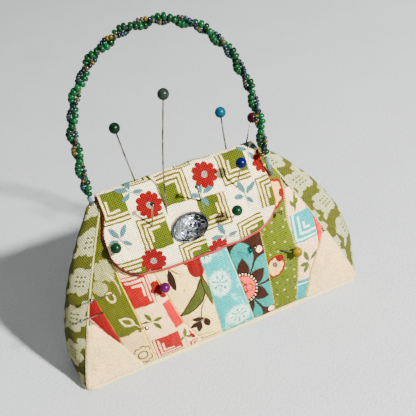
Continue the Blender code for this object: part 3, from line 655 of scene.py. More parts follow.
def face_cloth(name, node, side, material, slot, step=0.45, proud=0.0, thick=0.75, roll=0.45, spread=0.16,
               lowest=None, puff=0.22):
    """One patch of the front or the back, over its CAD panel, as a dense closed sheet."""
    heights, left, right = panel_outline(node, step)
    left = left - spread
    right = right + spread
    if lowest is not None:
        heights[0] = lowest
    widest = (right - left).max()
    share = np.linspace(0.0, 1.0, max(int(widest / step), 5) + 1)
    x = left[:, None] + (right - left)[:, None] * share[None, :]
    z = np.repeat(heights[:, None], len(share), axis=1)
    sideways = np.minimum(x - left[:, None], right[:, None] - x)
    edge = np.minimum(sideways, np.minimum(z - heights[0], heights[-1] - z) + 0.05)
    wide = np.maximum((right - left)[:, None], 0.5)
    pillow = puff * np.sin(np.pi * np.clip(sideways / wide, 0, 0.5)) ** 0.7
    pucker = 0.07 * np.exp(-sideways / 1.6) * np.sin(2 * np.pi * z / 2.7 + 2 * smooth_noise(x, z, 17.0, 1.0))
    lift = proud + pillow + pucker - rounding(edge, roll)
    outer = face_points(x, z, side, lift)
    inner = face_points(x, z, side, proud - thick + 0 * x)
    cloth = np.stack([x, z, sideways], axis=-1)
    piece = shell(name, outer, inner, cloth, material)
    return settle_in(piece, "bag", slot, node)


# --- Prints of the patchwork --------------------------------------------------------------------

def olive_leaf_print():
    """Cream leaves and outlines on olive."""
    paint = Paint("cotton_olive_leaf").cloth()
    paint.ground("828626")
    paint.dye((16.8 + (paint.u + 42.0) * 0.12 + paint.noise(0.5) * 2.0 - paint.v).cover(3.0), "E5DBC0")
    ragged = (paint.noise(0.6, 3.0) - 0.5) * 3.0
    large = paint.petals((-37.4, 46.6), 4.6, 5, 0.3) + ragged
    small = paint.petals((-41.2, 40.4), 3.0, 4, 0.3) + ragged
    paint.dye(large.higher(small).cover(3.0), "C9C79E")
    ring, _ = paint.polar((-38.5, 35.8), (1.0, 1.5), 20.0)
    paint.dye((0.30 - abs(ring - 1.3)).cover(5.0), "E4DCC0")
    outline = paint.leaf((-38.6, 26.4), (-33.4, 21.6), 1.9)
    paint.dye((0.24 - abs(outline - 0.25)).cover(6.0), "E4DCC0")
    paint.dye(paint.stroke((-34.5, 23.0), (-32.2, 19.8), 0.4), "E4DCC0")
    paint.dye(paint.stroke((-36.6, 44.5), (-34.6, 37.4), 0.4, 0.5), "E4DCC0")
    outer = paint.petals((-34.4, 6.9), 4.1, 9, 0.22)
    paint.dye((0.34 - abs(outer)).cover(5.0), "8A9433")
    inner, _ = paint.polar((-34.4, 6.9))
    paint.dye((0.36 - abs(inner - 1.8)).cover(5.0), "8A9433")
    return sewn_cotton(paint, "EFE9A8", 0.34)


def coral_squares_print():
    """Coral squares, cherries and sprigs on cream."""
    paint = Paint("cotton_coral").cloth()
    paint.ground("EDE4D2")
    paint.dye(paint.box((-28.1, 35.2), (5.0, 6.9), 2.0), "E63440")
    lines = ((0.86, 0.07, 1.0), (0.60, 0.07, 0.8), (0.33, 0.07, 0.40))
    paint.dye(paint.nested((-28.1, 35.2), (5.0, 6.9), (1, 1), lines, 2.0), "F3E9DC")
    flower = paint.petals((-20.9, 34.2), 3.3, 5, 0.34, 0.6)
    paint.dye(flower.cover(5.0), "D0060C")
    paint.dye(paint.ellipse((-19.6, 30.3), (1.5, 1.3)), "D0060C")
    paint.dye(paint.box((-18.4, 20.7), (2.0, 6.6), 10.0), "F0606A")
    leaves = (((-27.2, 20.9), (-28.9, 25.2), 0.85), ((-26.6, 20.8), (-22.9, 21.2), 0.85),
              ((-26.8, 20.2), (-24.3, 16.2), 0.85), ((-27.8, 20.6), (-31.3, 21.2), 0.6))
    paint.dye(paint.sprig((-28.8, 20.4), leaves, (-26.4, 20.8)), "7F8B2B")
    paint.dye(paint.box((-23.9, 7.1), (5.5, 5.2), 2.0), "E63440")
    paint.dye(paint.nested((-23.9, 7.1), (5.5, 5.2), (-1, -1), lines, 2.0), "F3E9DC")
    leaves = (((-16.6, 7.6), (-15.9, 12.2), 0.95), ((-16.8, 8.4), (-19.2, 6.6), 0.6),
              ((-16.2, 8.4), (-14.4, 6.4), 0.6))
    paint.dye(paint.sprig((-16.6, 10.0), leaves, (-16.8, 5.4)), "8A9740")
    paint.dye(paint.ellipse((-13.6, 6.6), (0.8, 1.7), 30.0), "D0060C")
    paint.dye(paint.ellipse((-14.0, 8.6), (0.35, 1.4), 15.0), "D0060C")
    small = paint.nested((-13.6, 2.9), (2.0, 1.6), (-1, 1), ((0.7, 0.2, 1.0), (0.0, 0.2, 0.6)))
    paint.dye(small, "E8444E")
    return sewn_cotton(paint, "F2ECC4", 0.24)


def tulip_print():
    """A red tulip with brown stems on cream."""
    paint = Paint("cotton_tulip").cloth()
    paint.ground("EDE6CC")
    dark, leaf_green = "421A0A", "74802C"
    paint.dye(paint.leaf((-15.0, 30.2), (-15.4, 39.9), 1.45, 0.2).cover(5.0), dark)
    paint.dye(paint.stroke((-15.2, 39.6), (-15.0, 44.0), 0.45), dark)
    paint.dye(paint.stroke((-15.0, 42.8), (-11.2, 36.3), 0.42, -1.3), dark)
    crescent = paint.leaf((-16.2, 18.0), (-3.7, 33.0), 2.35, -2.9)
    paint.dye((crescent + 0.16).cover(6.0), dark)
    paint.dye((crescent - 0.12).cover(6.0), leaf_green)
    narrow = paint.leaf((-4.5, 32.6), (-2.6, 18.2), 0.95, 0.3)
    paint.dye((narrow + 0.30).cover(4.0), dark)
    paint.dye((narrow - 0.10).cover(4.0), leaf_green)
    bulb = paint.ellipse((-5.0, 37.6), (3.4, 5.2)).higher(paint.box((-5.4, 42.5), (3.6, 3.2)))
    bulb = bulb.higher(paint.ellipse((-8.4, 41.6), (1.7, 2.8), 18.0))
    paint.dye(bulb, "CC060C")
    paint.dye(paint.stroke((-6.6, 33.4), (-6.2, 42.0), 0.3, 0.7), "8E0D16")
    paint.dye(paint.stroke((-4.0, 33.2), (-4.0, 42.0), 0.3, -0.6), "8E0D16")
    paint.dye(paint.stroke((-4.6, 22.2), (-8.2, 12.8), 0.5, -1.3), dark)
    for start, end, width in (((-7.2, 13.2), (-12.6, 14.4), 1.15), ((-8.4, 12.4), (-13.8, 10.2), 1.15),
                              ((-9.0, 12.2), (-10.8, 7.2), 1.2), ((-7.2, 13.4), (-6.2, 8.4), 1.35)):
        paint.dye(paint.leaf(start, end, width).cover(5.0), dark)
    paint.dye(paint.stroke((-8.0, 12.6), (-10.6, 11.6), 0.4), dark)
    paint.dye(paint.stroke((-11.5, 3.9), (-2.6, 3.2), 0.5, -0.4), "4E3B1C")
    paint.dye(paint.stroke((-11.0, 5.0), (-5.6, 4.8), 0.3, 0.3), dark)
    paint.dye(paint.ellipse((-11.9, 29.4), (0.35, 0.35)), "6B5A3A")
    woven(paint)
    return paint.finish()


def dandelion_print():
    """White dandelions on turquoise."""
    paint = Paint("cotton_turquoise").cloth()
    paint.ground("64E2E0")
    rough = paint.noise(1.3, 4.0)
    for centre, size, count in (((2.2, 26.2), (4.4, 6.0), 7), ((6.2, 8.0), (5.4, 4.9), 8),
                                ((-0.6, 41.2), (3.4, 4.4), 7)):
        distance, angle = paint.polar(centre, size)
        paint.dye((1.36 - distance - rough * 0.80).cover(5.0), "EDF1EC")
        lace = (paint.noise(1.9, 3.0) - 0.56).lower(1.0 - distance)
        paint.dye(lace.cover(9.0) * 0.8, "74D8D6")
        spokes = (angle * float(count)).cosine()
        strokes = (0.15 - abs(distance - 0.52)).lower((spokes - 0.55) * 0.25).cover(12.0)
        inner = (0.10 - abs(distance - 0.22)).lower((angle * 5.0).cosine() * 0.2 - 0.06).cover(12.0)
        paint.dye(strokes.higher(inner), "62D0CE")
    paint.dye((paint.noise(0.22, 3.0) - 0.64).cover(6.0) * 0.7, "E6F2EE")
    paint.dye((0.9 - paint.edge - rough).cover(4.0) * 0.7, "E6F2EE")
    woven(paint)
    return paint.finish()


def petal_print():
    """A large flower with aqua petals on brown."""
    paint = Paint("cotton_brown").cloth()
    paint.ground("502511")
    distance, angle = paint.polar((11.0, 19.0), (1.0, 1.36))
    period = math.radians(55.0)
    local = ((angle - math.radians(24.0)) / period + 0.5)
    local = local - local.floor() - 0.5
    lobe = paint.math("POWER", (local * math.pi).cosine().higher(0.001), 0.33)
    paint.dye((lobe * 11.2 + 4.3 - distance).lower((lobe - 0.54) * 9.0).cover(4.0), "52CCC0")
    stem = paint.stroke((12.6, 36.2), (15.2, 33.4), 0.45, 0.4)
    fork = paint.stroke((15.0, 33.6), (17.0, 35.4), 0.45)
    paint.dye(stem.higher(fork), "3E8C9A")
    along = ((distance - 4.4) / 6.2).higher(0.0)
    narrow = ((along ** 0.72) * math.pi).sine().higher(0.0) * 0.37 + 0.01
    petal = (narrow - abs(local) * (distance / 7.2)).lower((1.0 - along) * 0.6)
    paint.dye(petal.cover(14.0), "502511")
    paint.dye((5.9 - distance).cover(4.0), "160E0C")
    dots = ((angle * 26.0).cosine() - 0.1) * 0.5
    paint.dye((0.34 - abs(distance - 5.15)).lower(dots).cover(6.0), "F0E6DA")
    paint.dye((4.45 - distance).cover(4.0), "F2A5A0")
    star = (0.30 - abs(distance - 2.5 - (angle * 3.0).cosine() * 1.1)).cover(5.0)
    paint.dye(star, "8C8A26")
    paint.dye((0.22 - abs(distance - 1.2 + (angle * 3.0).cosine() * 0.5)).cover(5.0), "5A3A1E")
    for spot in ((20.5, 33.9), (20.2, 3.9)):
        paint.dye(paint.ellipse(spot, (1.35, 1.3)), "F1E8DC")
    return sewn_cotton(paint, "E9E0C6", 0.16, depth=0.00014)


def scattered(paint, scale, radius, seed):
    """Small dots scattered over the cloth."""
    moved = paint.node("ShaderNodeVectorMath", {"operation": "ADD"})
    paint.put(moved.inputs[0], paint.vector)
    moved.inputs[1].default_value = (seed, seed * 0.7, 0.0)
    flat = paint.node("ShaderNodeVectorMath", {"operation": "MULTIPLY"})
    paint.put(flat.inputs[0], moved.outputs[0])
    flat.inputs[1].default_value = (1.0, 1.0, 0.0)
    cells = paint.node("ShaderNodeTexVoronoi", {"voronoi_dimensions": "2D"}, Vector=flat.outputs[0],
                       Scale=scale, Randomness=0.75)
    distance = Num(paint, cells.outputs["Distance"]) / scale
    return (radius - distance).cover(6.0)


def apple_print():
    """Apples and scattered dots on olive."""
    paint = Paint("cotton_olive_apple").cloth()
    paint.ground("94A02C")
    paint.dye(scattered(paint, 0.22, 0.46, 1.0), "DAD8A0")
    paint.dye(scattered(paint, 0.24, 0.30, 7.3), "3E4B1E")
    for centre, size in (((25.4, 23.0), (3.5, 4.1)), ((31.6, 52.4), (4.0, 5.4))):
        distance, angle = paint.polar(centre, size)
        edge = 1.0 - distance + abs((angle * 4.5).cosine()) * 0.10 + (angle * 2.0 - 1.2).cosine() * 0.10
        paint.dye((edge + 0.10).cover(10.0), "D01410")
        paint.dye((edge - 0.13).cover(10.0), "F0E3BE")
    paint.dye(paint.ellipse((27.9, 26.3), (1.6, 1.5)), "CE0A08")
    paint.dye(paint.ellipse((25.4, 24.0), (1.0, 1.3), 15.0), "A79A86")
    paint.dye(paint.ellipse((35.3, 51.8), (1.5, 1.7)), "CE0A08")
    return sewn_cotton(paint, "E8E6A8", 0.26)


def cream_squares_print():
    """Turquoise squares and green sprigs on cream."""
    paint = Paint("cotton_cream").cloth()
    paint.ground("EEE5D8")
    paint.dye(paint.box((41.6, 34.6), (6.0, 6.4), -3.0), "5ADEE0")
    lines = ((0.80, 0.07, 1.0), (0.44, 0.08, 0.72), (0.10, 0.08, 0.30))
    paint.dye(paint.nested((41.6, 34.6), (6.0, 6.4), (-1, -1), lines, -3.0), "EFF4EE")
    for root, end in (((38.6, 41.6), (40.6, 50.0)), ((39.0, 44.6), (41.4, 46.8)),
                      ((38.8, 43.6), (37.6, 47.2))):
        paint.dye(paint.leaf(root, end, 0.7).cover(4.0), "8C9A3E")
    leaves = (((39.6, 18.8), (38.6, 24.0), 0.95), ((40.2, 18.8), (44.6, 22.0), 0.85),
              ((39.4, 18.2), (35.6, 17.9), 0.9), ((39.4, 17.8), (36.4, 14.4), 0.95))
    paint.dye(paint.sprig((39.7, 19.6), leaves, (39.3, 14.6)), "87934A")
    paint.dye(paint.box((33.6, 5.9), (6.6, 5.4), -3.0), "56D6D8")
    paint.dye(paint.stroke((30.0, 9.6), (40.0, 9.0), 0.6), "EFF4EE")
    return sewn_cotton(paint, "F4F0DC", 0.26)


def red_print():
    """The red sliver, with one pale corner."""
    paint = Paint("cotton_red").cloth()
    paint.ground("CC0408")
    paint.dye((30.2 - (paint.u + 48.6) * 2.0 - paint.v).cover(4.0), "E9D3C4")
    woven(paint)
    return paint.finish()


def coral_sliver_print():
    """The mottled coral sliver."""
    paint = Paint("cotton_sliver_coral").cloth()
    paint.ground("F2898A")
    paint.dye((paint.noise(0.5, 2.0) - 0.55).cover(8.0), "F6A7A2")
    woven(paint)
    return paint.finish()


def floral(paint):
    """Off-white flowers with rows of small dashes, in a half-drop repeat on olive."""
    paint.ground("84862C")
    width, height = 13.5, 16.0
    column = (paint.u / width).floor()
    even = column - (column / 2.0).floor() * 2.0
    shifted = paint.v / height + even * 0.5
    a = (paint.u / width - column - 0.5) * width
    b = (shifted - shifted.floor() - 0.5) * height
    combined = paint.node("ShaderNodeCombineXYZ", None, X=a, Y=b)
    cell = combined.outputs[0]
    rough = paint.noise(0.5, 2.0)
    flower = paint.petals((0.0, 0.0), 6.1, 6, 0.26, 0.4, cell) + (rough - 0.5) * 2.6
    bud = paint.petals((5.2, 6.3), 2.9, 4, 0.3, 0.9, cell) + (rough - 0.5) * 1.2
    paint.dye(flower.higher(bud).cover(4.0), "D3D2BC")
    rows = (b * (2.0 * math.pi / 1.9)).cosine()
    columns = (a * (2.0 * math.pi / 1.55)).cosine()
    dashes = (rows - 0.25).lower(columns + 0.35).lower((2.5 - abs(a)) * 2.0).lower((2.9 - abs(b)) * 2.0)
    paint.dye(dashes.cover(3.0), "7F8B3C")
    leaf = paint.leaf((-6.4, -7.4), (-3.0, -3.6), 0.9, 0.0, cell)
    paint.dye(leaf.cover(4.0), "D3D2BC")
    woven(paint)


def floral_print(name):
    """The floral cotton of the side panels and the back."""
    paint = Paint(name).cloth()
    floral(paint)
    return paint.finish()


def felt_material(name, code):
    """Felt with fine fibres and soft clouds."""
    paint = Paint(name).cloth(wobble=0.0)
    paint.ground(code)
    place = paint.in_object()
    fine = paint.noise(1300.0, 4.0, place)
    fibres = paint.node("ShaderNodeMapping", None, Scale=(500.0, 500.0, 1700.0), Rotation=(0.4, 0.7, 0.3))
    paint.put(fibres.inputs["Vector"], place)
    strands = paint.noise(1.0, 5.0, fibres.outputs[0])
    clouds = paint.noise(90.0, 3.0, place)
    blush = paint.noise(45.0, 2.0, place)
    paint.dye((blush - 0.56).cover(5.0) * 0.4, "D9C29A")
    paint.dye((clouds - 0.58).cover(4.0) * 0.5, "F2E8D0")
    paint.tint(fine * 0.75 + strands * 0.60 + clouds * 0.30 + 0.16)
    paint.bump(fine + strands, 0.9, 0.0006)
    paint.bump(clouds, 0.5, 0.0010)
    paint.set(Roughness=0.95, Sheen_Weight=0.35, Sheen_Roughness=0.6)
    paint.set(Specular_IOR_Level=0.1)
    return paint.finish()


def plain_surface(name, code, roughness, scale=400.0, variation=0.2, bump=0.0001, **values):
    """A material with object-space mottling and a fine bump."""
    paint = Paint(name)
    paint.ground(code)
    place = paint.in_object()
    grain = paint.noise(scale, 4.0, place)
    paint.tint(grain * variation + (1.0 - variation / 2))
    paint.bump(grain, 0.4, bump)
    paint.set(Roughness=roughness, **values)
    return paint.finish()


# --- The stuffed body ---------------------------------------------------------------------------

PANELS = (
    ("strip_olive_leaf", "cotton_olive_leaf", olive_leaf_print),
    ("strip_coral_squares", "cotton_coral", coral_squares_print),
    ("strip_tulip", "cotton_tulip", tulip_print),
    ("strip_turquoise_dandelion", "cotton_turquoise", dandelion_print),
    ("strip_brown_petal", "cotton_brown", petal_print),
    ("strip_olive_apple", "cotton_olive_apple", apple_print),
    ("strip_cream_squares", "cotton_cream", cream_squares_print),
    ("sliver_red", "cotton_red", red_print),
    ("sliver_coral", "cotton_coral", coral_sliver_print),
)


def body_mesh():
    """The stuffing's heights, and a ring of points in millimetres at each, a little inside the cloth."""
    levels = np.concatenate([np.linspace(2.4, 69.8, 30), [70.3, 70.6]])
    across = np.linspace(-1.0, 1.0, STUFFING_COLUMNS)
    depth_share = np.linspace(-1.0, 1.0, STUFFING_THROUGH + 2)[1:-1]
    rings = []
    for z in levels:
        x = across * (side_x(z) - STUFFING_INSET)
        reach = max(float(half_depth(z)) - STUFFING_INSET, 0.3)
        bulge = FACE_BULGE * (1.0 - across * across) * swell(z)
        front = np.stack([x, -(reach + bulge), 0 * x + z], axis=-1)
        back = front[::-1] * (1, -1, 1)
        ends = []
        for side in (1, -1):
            out = side_x(z) - STUFFING_INSET + gusset_bulge(z, side) * (1.0 - depth_share ** 2)
            ends.append(np.stack([side * out, side * depth_share * reach, 0 * out + z], axis=-1))
        ring = np.concatenate([front, ends[0], back, ends[1]])
        rings.append(ring + (0.0, float(middle_y(z)), 0.0))
    return levels, np.array(rings)


def ring_faces(rows, count):
    """Faces that join rings of points, and close both ends."""
    faces = []
    for i in range(rows - 1):
        for j in range(count):
            k = (j + 1) % count
            faces.append((i * count + j, i * count + k, (i + 1) * count + k, (i + 1) * count + j))
    faces.append(tuple(range(count - 1, -1, -1)))
    faces.append(tuple((rows - 1) * count + j for j in range(count)))
    return faces


def seam_pins(levels, rings):
    """1 at the points that the seams hold: the corners, the base, the ridge and the strips' seams."""
    pins = np.zeros(rings.shape[:2])
    pins[0] = pins[-3:] = 1.0
    columns, back = STUFFING_COLUMNS, STUFFING_COLUMNS + STUFFING_THROUGH
    corners = (0, columns - 1, back, back + columns - 1)
    pins[:, corners] = 1.0
    for node in ("strip_coral_squares", "strip_turquoise_dandelion", "strip_olive_apple"):
        heights, left, right = panel_outline(node, 2.0)
        for i, z in enumerate(levels):
            for edge in (np.interp(z, heights, left), np.interp(z, heights, right)):
                nearest = int(np.argmin(abs(rings[i, :columns, 0] - edge)))
                pins[i, nearest] = 1.0
    for name in ("left", "right"):
        heights, left, right = panel_outline("felt_corner_front_" + name, 2.0)
        slanted = right if name == "left" else left
        for i, z in enumerate(levels):
            if z < heights[-1]:
                for start in (0, back):
                    place = rings[i, start:start + columns, 0]
                    pins[i, start + int(np.argmin(abs(place - np.interp(z, heights, slanted))))] = 1.0
    return pins


def blow_up(rings, pins):
    """Fill the body with pressure in a cloth simulation, and return its points when full."""
    flat = rings.reshape(-1, 3)
    mesh = bpy.data.meshes.new("stuffing_sim")
    faces = ring_faces(len(rings), rings.shape[1])
    mesh.from_pydata((flat * MM * SIM_SCALE).tolist(), [], faces)
    body = bpy.data.objects.new("stuffing_sim", mesh)
    bpy.context.scene.collection.objects.link(body)
    group = body.vertex_groups.new(name="seams")
    for index, weight in enumerate(pins.ravel()):
        if weight > 0:
            group.add([index], float(weight), "REPLACE")
    modifier = body.modifiers.new("pressure", "CLOTH")
    settings = modifier.settings
    settings.vertex_group_mass = "seams"
    settings.quality = 6
    settings.mass = 0.05
    settings.tension_stiffness = settings.compression_stiffness = 8.0
    settings.shear_stiffness = 4.0
    settings.bending_stiffness = 0.5
    settings.use_pressure = True
    settings.uniform_pressure_force = SIM_PRESSURE
    settings.effector_weights.gravity = 0.0
    modifier.point_cache.frame_start = 1
    modifier.point_cache.frame_end = SIM_FRAMES
    scene = bpy.context.scene
    for number in range(1, SIM_FRAMES + 1):
        scene.frame_set(number)
    evaluated = body.evaluated_get(bpy.context.evaluated_depsgraph_get())
    full = np.array([vertex.co[:] for vertex in evaluated.data.vertices]) / (MM * SIM_SCALE)
    scene.frame_set(1)
    bpy.data.objects.remove(body, do_unlink=True)
    return full.reshape(rings.shape)


def fill_body():
    """Simulate the stuffing, hand its swelling to the cloth, and make the stuffing itself."""
    levels, rings = body_mesh()
    columns, back = STUFFING_COLUMNS, STUFFING_COLUMNS + STUFFING_THROUGH
    swollen = rings
    full = blow_up(rings, seam_pins(levels, rings))
    motion = full - rings
    length = np.linalg.norm(motion, axis=-1, keepdims=True)
    motion = motion * np.minimum(1.0, SWELLING_LIMIT / np.maximum(length, 1e-6))
    on_faces = np.zeros(rings.shape[1], dtype=bool)
    on_faces[:columns] = on_faces[back:back + columns] = True
    motion[:, on_faces, 0] = 0.0
    motion[:, ~on_faces, 1] = 0.0
    motion[:, :, 2] = 0.0
    swollen = rings + motion
    stuffing.levels = levels
    stuffing.front = -motion[:, :columns, 1]
    stuffing.back = motion[:, back:back + columns, 1][:, ::-1]
    ends = np.zeros((len(levels), 1))
    right = motion[:, columns:back, 0]
    left = -motion[:, back + columns:, 0][:, ::-1]
    stuffing.sides = tuple(np.concatenate([ends, side, ends], axis=1) for side in (left, right))
    flat = swollen.reshape(-1, 3)
    points = settled(flat[:, 0], flat[:, 1], flat[:, 2])
    fibre = plain_surface("fibre_fill", "EDEBE4", 0.95, 700.0, 0.2, 0.0003)
    body = mesh_object("bag_stuffing", points, ring_faces(len(rings), rings.shape[1]), fibre)
    settle_in(body, "bag", "fibre", "stuffing_core", "ridge_filling")


def gusset(name, side, material):
    """A side panel, with the rounded end of the ridge above it."""
    heights = np.concatenate([BASE_TOP + (SHOULDER_Z - BASE_TOP) * np.linspace(0.0, 1.0, 150) ** 1.15,
                              SHOULDER_Z + RIDGE_RISE * np.sin(np.linspace(0.12, 0.5 * np.pi, 8)) * 0.99])
    share = np.sin(np.linspace(-0.5 * np.pi, 0.5 * np.pi, 72))
    z = np.repeat(heights[:, None], len(share), axis=1)
    reach = np.maximum(half_depth(z) - 0.12, 0.05)
    off = share[None, :] * reach
    edge = reach - abs(off)
    wave = 0.09 * np.exp(-edge / 1.8) * np.sin(2 * np.pi * z / 2.4 + smooth_noise(off, z, 15.0, 3.0))
    lift = wave - rounding(edge, 0.5) * (z < SHOULDER_Z)
    outer = gusset_points(off, z, side, lift)
    inner = gusset_points(off, z, side, lift - 0.7)
    along = np.concatenate([np.zeros((len(heights), 1)),
                            np.cumsum(np.linalg.norm(np.diff(outer, axis=1), axis=-1), axis=1)], axis=1)
    along = along - along[:, [-1]] / 2
    middle = outer[:, len(share) // 2]
    climb = np.concatenate([[0.0], np.cumsum(np.linalg.norm(np.diff(middle, axis=0), axis=-1))])
    cloth = np.stack([(along + 40.0) * side, climb[:, None] + 3.0 + 0 * along, edge], axis=-1)
    piece = shell(name + "_cloth", outer, inner, cloth, material)
    return settle_in(piece, "bag", "cotton_floral", name)


def ridge_cloth(material):
    """The strip of cloth over the rounded ridge, under the flap."""
    x = np.linspace(-RIDGE_HALF_WIDTH - 0.1, RIDGE_HALF_WIDTH + 0.1, 90)[:, None]
    angle = np.linspace(0.02, np.pi - 0.02, 26)[None, :]
    edge = RIDGE_HALF_WIDTH + 0.1 - abs(x) + 0 * angle
    sink = rounding(edge, 0.6)
    skins = []
    for inset in (0.0, 0.7):
        y = RIDGE_LEAN - (RIDGE_HALF_DEPTH - inset) * np.cos(angle) + 0 * x
        z = SHOULDER_Z + (RIDGE_RISE - inset + GAP - sink) * np.sin(angle)
        skins.append(settled(x + 0 * angle, y, z))
    cloth = np.stack([x + 0 * angle, 70.0 + angle * 4.0 + 0 * x, edge], axis=-1)
    piece = shell("gusset_ridge_cloth", skins[0], skins[1], cloth, material)
    return settle_in(piece, "bag", "cotton_floral", "gusset_ridge")


def tube(name, path, radius, sides, material, layers=None, taper=None):
    """A round cord along points in millimetres, with closed ends."""
    path = np.asarray(path, dtype=float)
    count = len(path)
    ahead = np.gradient(path, axis=0)
    ahead /= np.linalg.norm(ahead, axis=1, keepdims=True)
    helper = np.array([0.0, 0.0, 1.0]) if abs(ahead[:, 2]).mean() < 0.8 else np.array([0.0, 1.0, 0.0])
    across = np.cross(ahead, helper)
    across /= np.linalg.norm(across, axis=1, keepdims=True)
    upward = np.cross(across, ahead)
    angle = np.linspace(0, 2 * np.pi, sides, endpoint=False)
    radii = np.full(count, radius) if taper is None else radius * np.asarray(taper)
    points = (path[:, None] + radii[:, None, None] * (np.cos(angle)[None, :, None] * across[:, None]
                                                       + np.sin(angle)[None, :, None] * upward[:, None]))
    faces = ring_faces(count, sides)
    return mesh_object(name, points.reshape(-1, 3), faces, material, layers=layers)


def seam_threads(material):
    """The line of cream thread and turned cloth where each face meets the side panels."""
    for where, side in (("front", -1), ("back", 1)):
        for edge, name in ((-1, "left"), (1, "right")):
            z = np.linspace(2.6, SHOULDER_Z - 0.4, 240)
            x = edge * (side_x(z) - 0.02)
            wave = 0.10 * np.sin(2 * np.pi * z / 2.1) + 0.10 * smooth_noise(z, 0 * z, 13.0, edge + side)
            y = middle_y(z) + side * (half_depth(z) - 0.05 + wave * 0.5)
            path = settled(x + edge * wave * 0.5, y, z)
            bumps = 1.0 + 0.16 * np.sin(2 * np.pi * z / 1.05)
            piece = tube("seam_" + where + "_" + name, path, 0.36, 8, material, taper=bumps)
            settle_in(piece, "bag", "thread")


def seam_allowances(material):
    """The turned-in cloth that lies under the seams of both faces."""
    z = np.linspace(BASE_TOP, SHOULDER_Z - 0.6, 80)[:, None]
    x = np.linspace(-1.0, 1.0, 110)[None, :] * (side_x(z) - 0.3)
    for where, side in (("front", -1), ("back", 1)):
        cloth = np.stack([x, z + 0 * x, 0 * x + 5.0], axis=-1)
        piece = shell("seam_allowance_" + where, face_points(x, z + 0 * x, side, -0.5),
                      face_points(x, z + 0 * x, side, -1.0), cloth, material)
        settle_in(piece, "bag", "cotton_cream")


def felt_corner(where, side, name, material):
    """One thick felt piece over a lower corner of the front or the back."""
    face_cloth("felt_" + where + "_" + name, "felt_corner_" + where + "_" + name, side, material,
               "felt_cream", step=0.5, proud=0.75, thick=1.3, roll=0.75, spread=0.35,
               lowest=BASE_TOP - 0.1, puff=0.25)


def base_felt(material):
    """The thick felt base with its soft rounded rim."""
    low, high = node_box("base_felt")
    centre = (low + high) / 2
    half = (high - low) / 2
    corner = 5.0
    turns = np.linspace(0, 2 * np.pi, 361)[:-1]
    outline = np.stack([np.cos(turns), np.sin(turns)], axis=-1)
    shape = np.sign(outline) * (half[:2] - corner) + outline * corner
    spacing = np.linspace(0, 1, 400, endpoint=False)
    closed = np.concatenate([shape, shape[:1]])
    travel = np.concatenate([[0], np.cumsum(np.linalg.norm(np.diff(closed, axis=0), axis=1))])
    shape = np.stack([np.interp(spacing * travel[-1], travel, closed[:, k]) for k in (0, 1)], axis=-1)
    thick = high[2] - low[2]
    profile = [(-8.0, 0.0), (-3.0, 0.0), (-0.9, 0.0), (-0.35, 0.12), (-0.06, 0.42), (0.0, 0.8), (0.0, 1.1),
               (-0.1, 1.45), (-0.4, thick - 0.08), (-0.9, thick), (-3.0, thick), (-8.0, thick)]
    rings = []
    for inward, height in profile:
        shrink = 1.0 + inward / half[:2]
        lump = 0.10 * smooth_noise(shape[:, 0], shape[:, 1], 7.0, height)
        ring = shape * shrink + outline_normal(shape) * (lump * (height > 0.05))[:, None]
        rings.append(np.concatenate([ring + centre[:2], np.full((len(ring), 1), low[2] + height)], axis=1))
    points = np.array(rings)
    faces = ring_faces(len(rings), points.shape[1])
    flat = points.reshape(-1, 3)
    cloth = np.stack([flat[:, 0], flat[:, 1], 0 * flat[:, 0] + 5.0], axis=-1)
    piece = mesh_object("base_felt_pad", flat, faces, material, layers={"cloth": cloth})
    return settle_in(piece, "bag", "felt_cream", "base_felt")


def outline_normal(shape):
    """The outward direction at each point of an outline."""
    ahead = np.roll(shape, -1, axis=0) - np.roll(shape, 1, axis=0)
    ahead /= np.linalg.norm(ahead, axis=1, keepdims=True)
    return np.stack([ahead[:, 1], -ahead[:, 0]], axis=-1)


def make_body():
    """The stuffing, every piece of cloth and felt over it, and the card in the base."""
    fill_body()
    for node, slot, paint in PANELS:
        face_cloth(node + "_cloth", node, -1, paint(), slot, lowest=BASE_TOP)
    floral_cloth = floral_print("cotton_floral")
    felt = felt_material("felt_cream", "E4DCBC")
    face_cloth("back_cloth", "back_panel", 1, floral_print("cotton_back"), "cotton_back", step=0.6,
               lowest=BASE_TOP)
    for where, side in (("front", -1), ("back", 1)):
        for name in ("left", "right"):
            felt_corner(where, side, name, felt)
    gusset("gusset_left", -1, floral_cloth)
    gusset("gusset_right", 1, floral_cloth)
    ridge_cloth(floral_cloth)
    seam_threads(thread_material("seam_thread", "D6D2B2"))
    seam_allowances(plain_surface("cotton_turned", "C4C192", 0.9, 900.0, 0.5, 0.0002))
    base_felt(felt_material("felt_base", "DFDDC4"))
    card = plain_surface("card", "B9976A", 0.9, 300.0, 0.25, 0.0001)
    frame["nodes"]["base_card"].material_slots[0].material = card


def thread_material(name, code):
    """Twisted thread."""
    paint = Paint(name)
    paint.ground(code)
    place = paint.in_object()
    parts = paint.node("ShaderNodeSeparateXYZ", None, Vector=place)
    x, _, z = (Num(paint, socket) for socket in parts.outputs)
    twist = ((z + x * 0.7) * 9000.0).sine()
    paint.tint(twist * 0.10 + paint.noise(900.0, 3.0, place) * 0.2 + 0.85)
    paint.bump(twist, 0.6, 0.00008)
    paint.set(Roughness=0.75, Sheen_Weight=0.1)
    return paint.finish()


# --- Flap ---------------------------------------------------------------------------------------

def flap_flare(z):
    """0 on the ridge, and 1 where the flap's front has its full width."""
    share = np.clip((FLAP_FLARE_TOP - z) / (FLAP_FLARE_TOP - FLAP_FLARE_BOTTOM), 0.0, 1.0)
    return share * share * (3.0 - 2.0 * share)


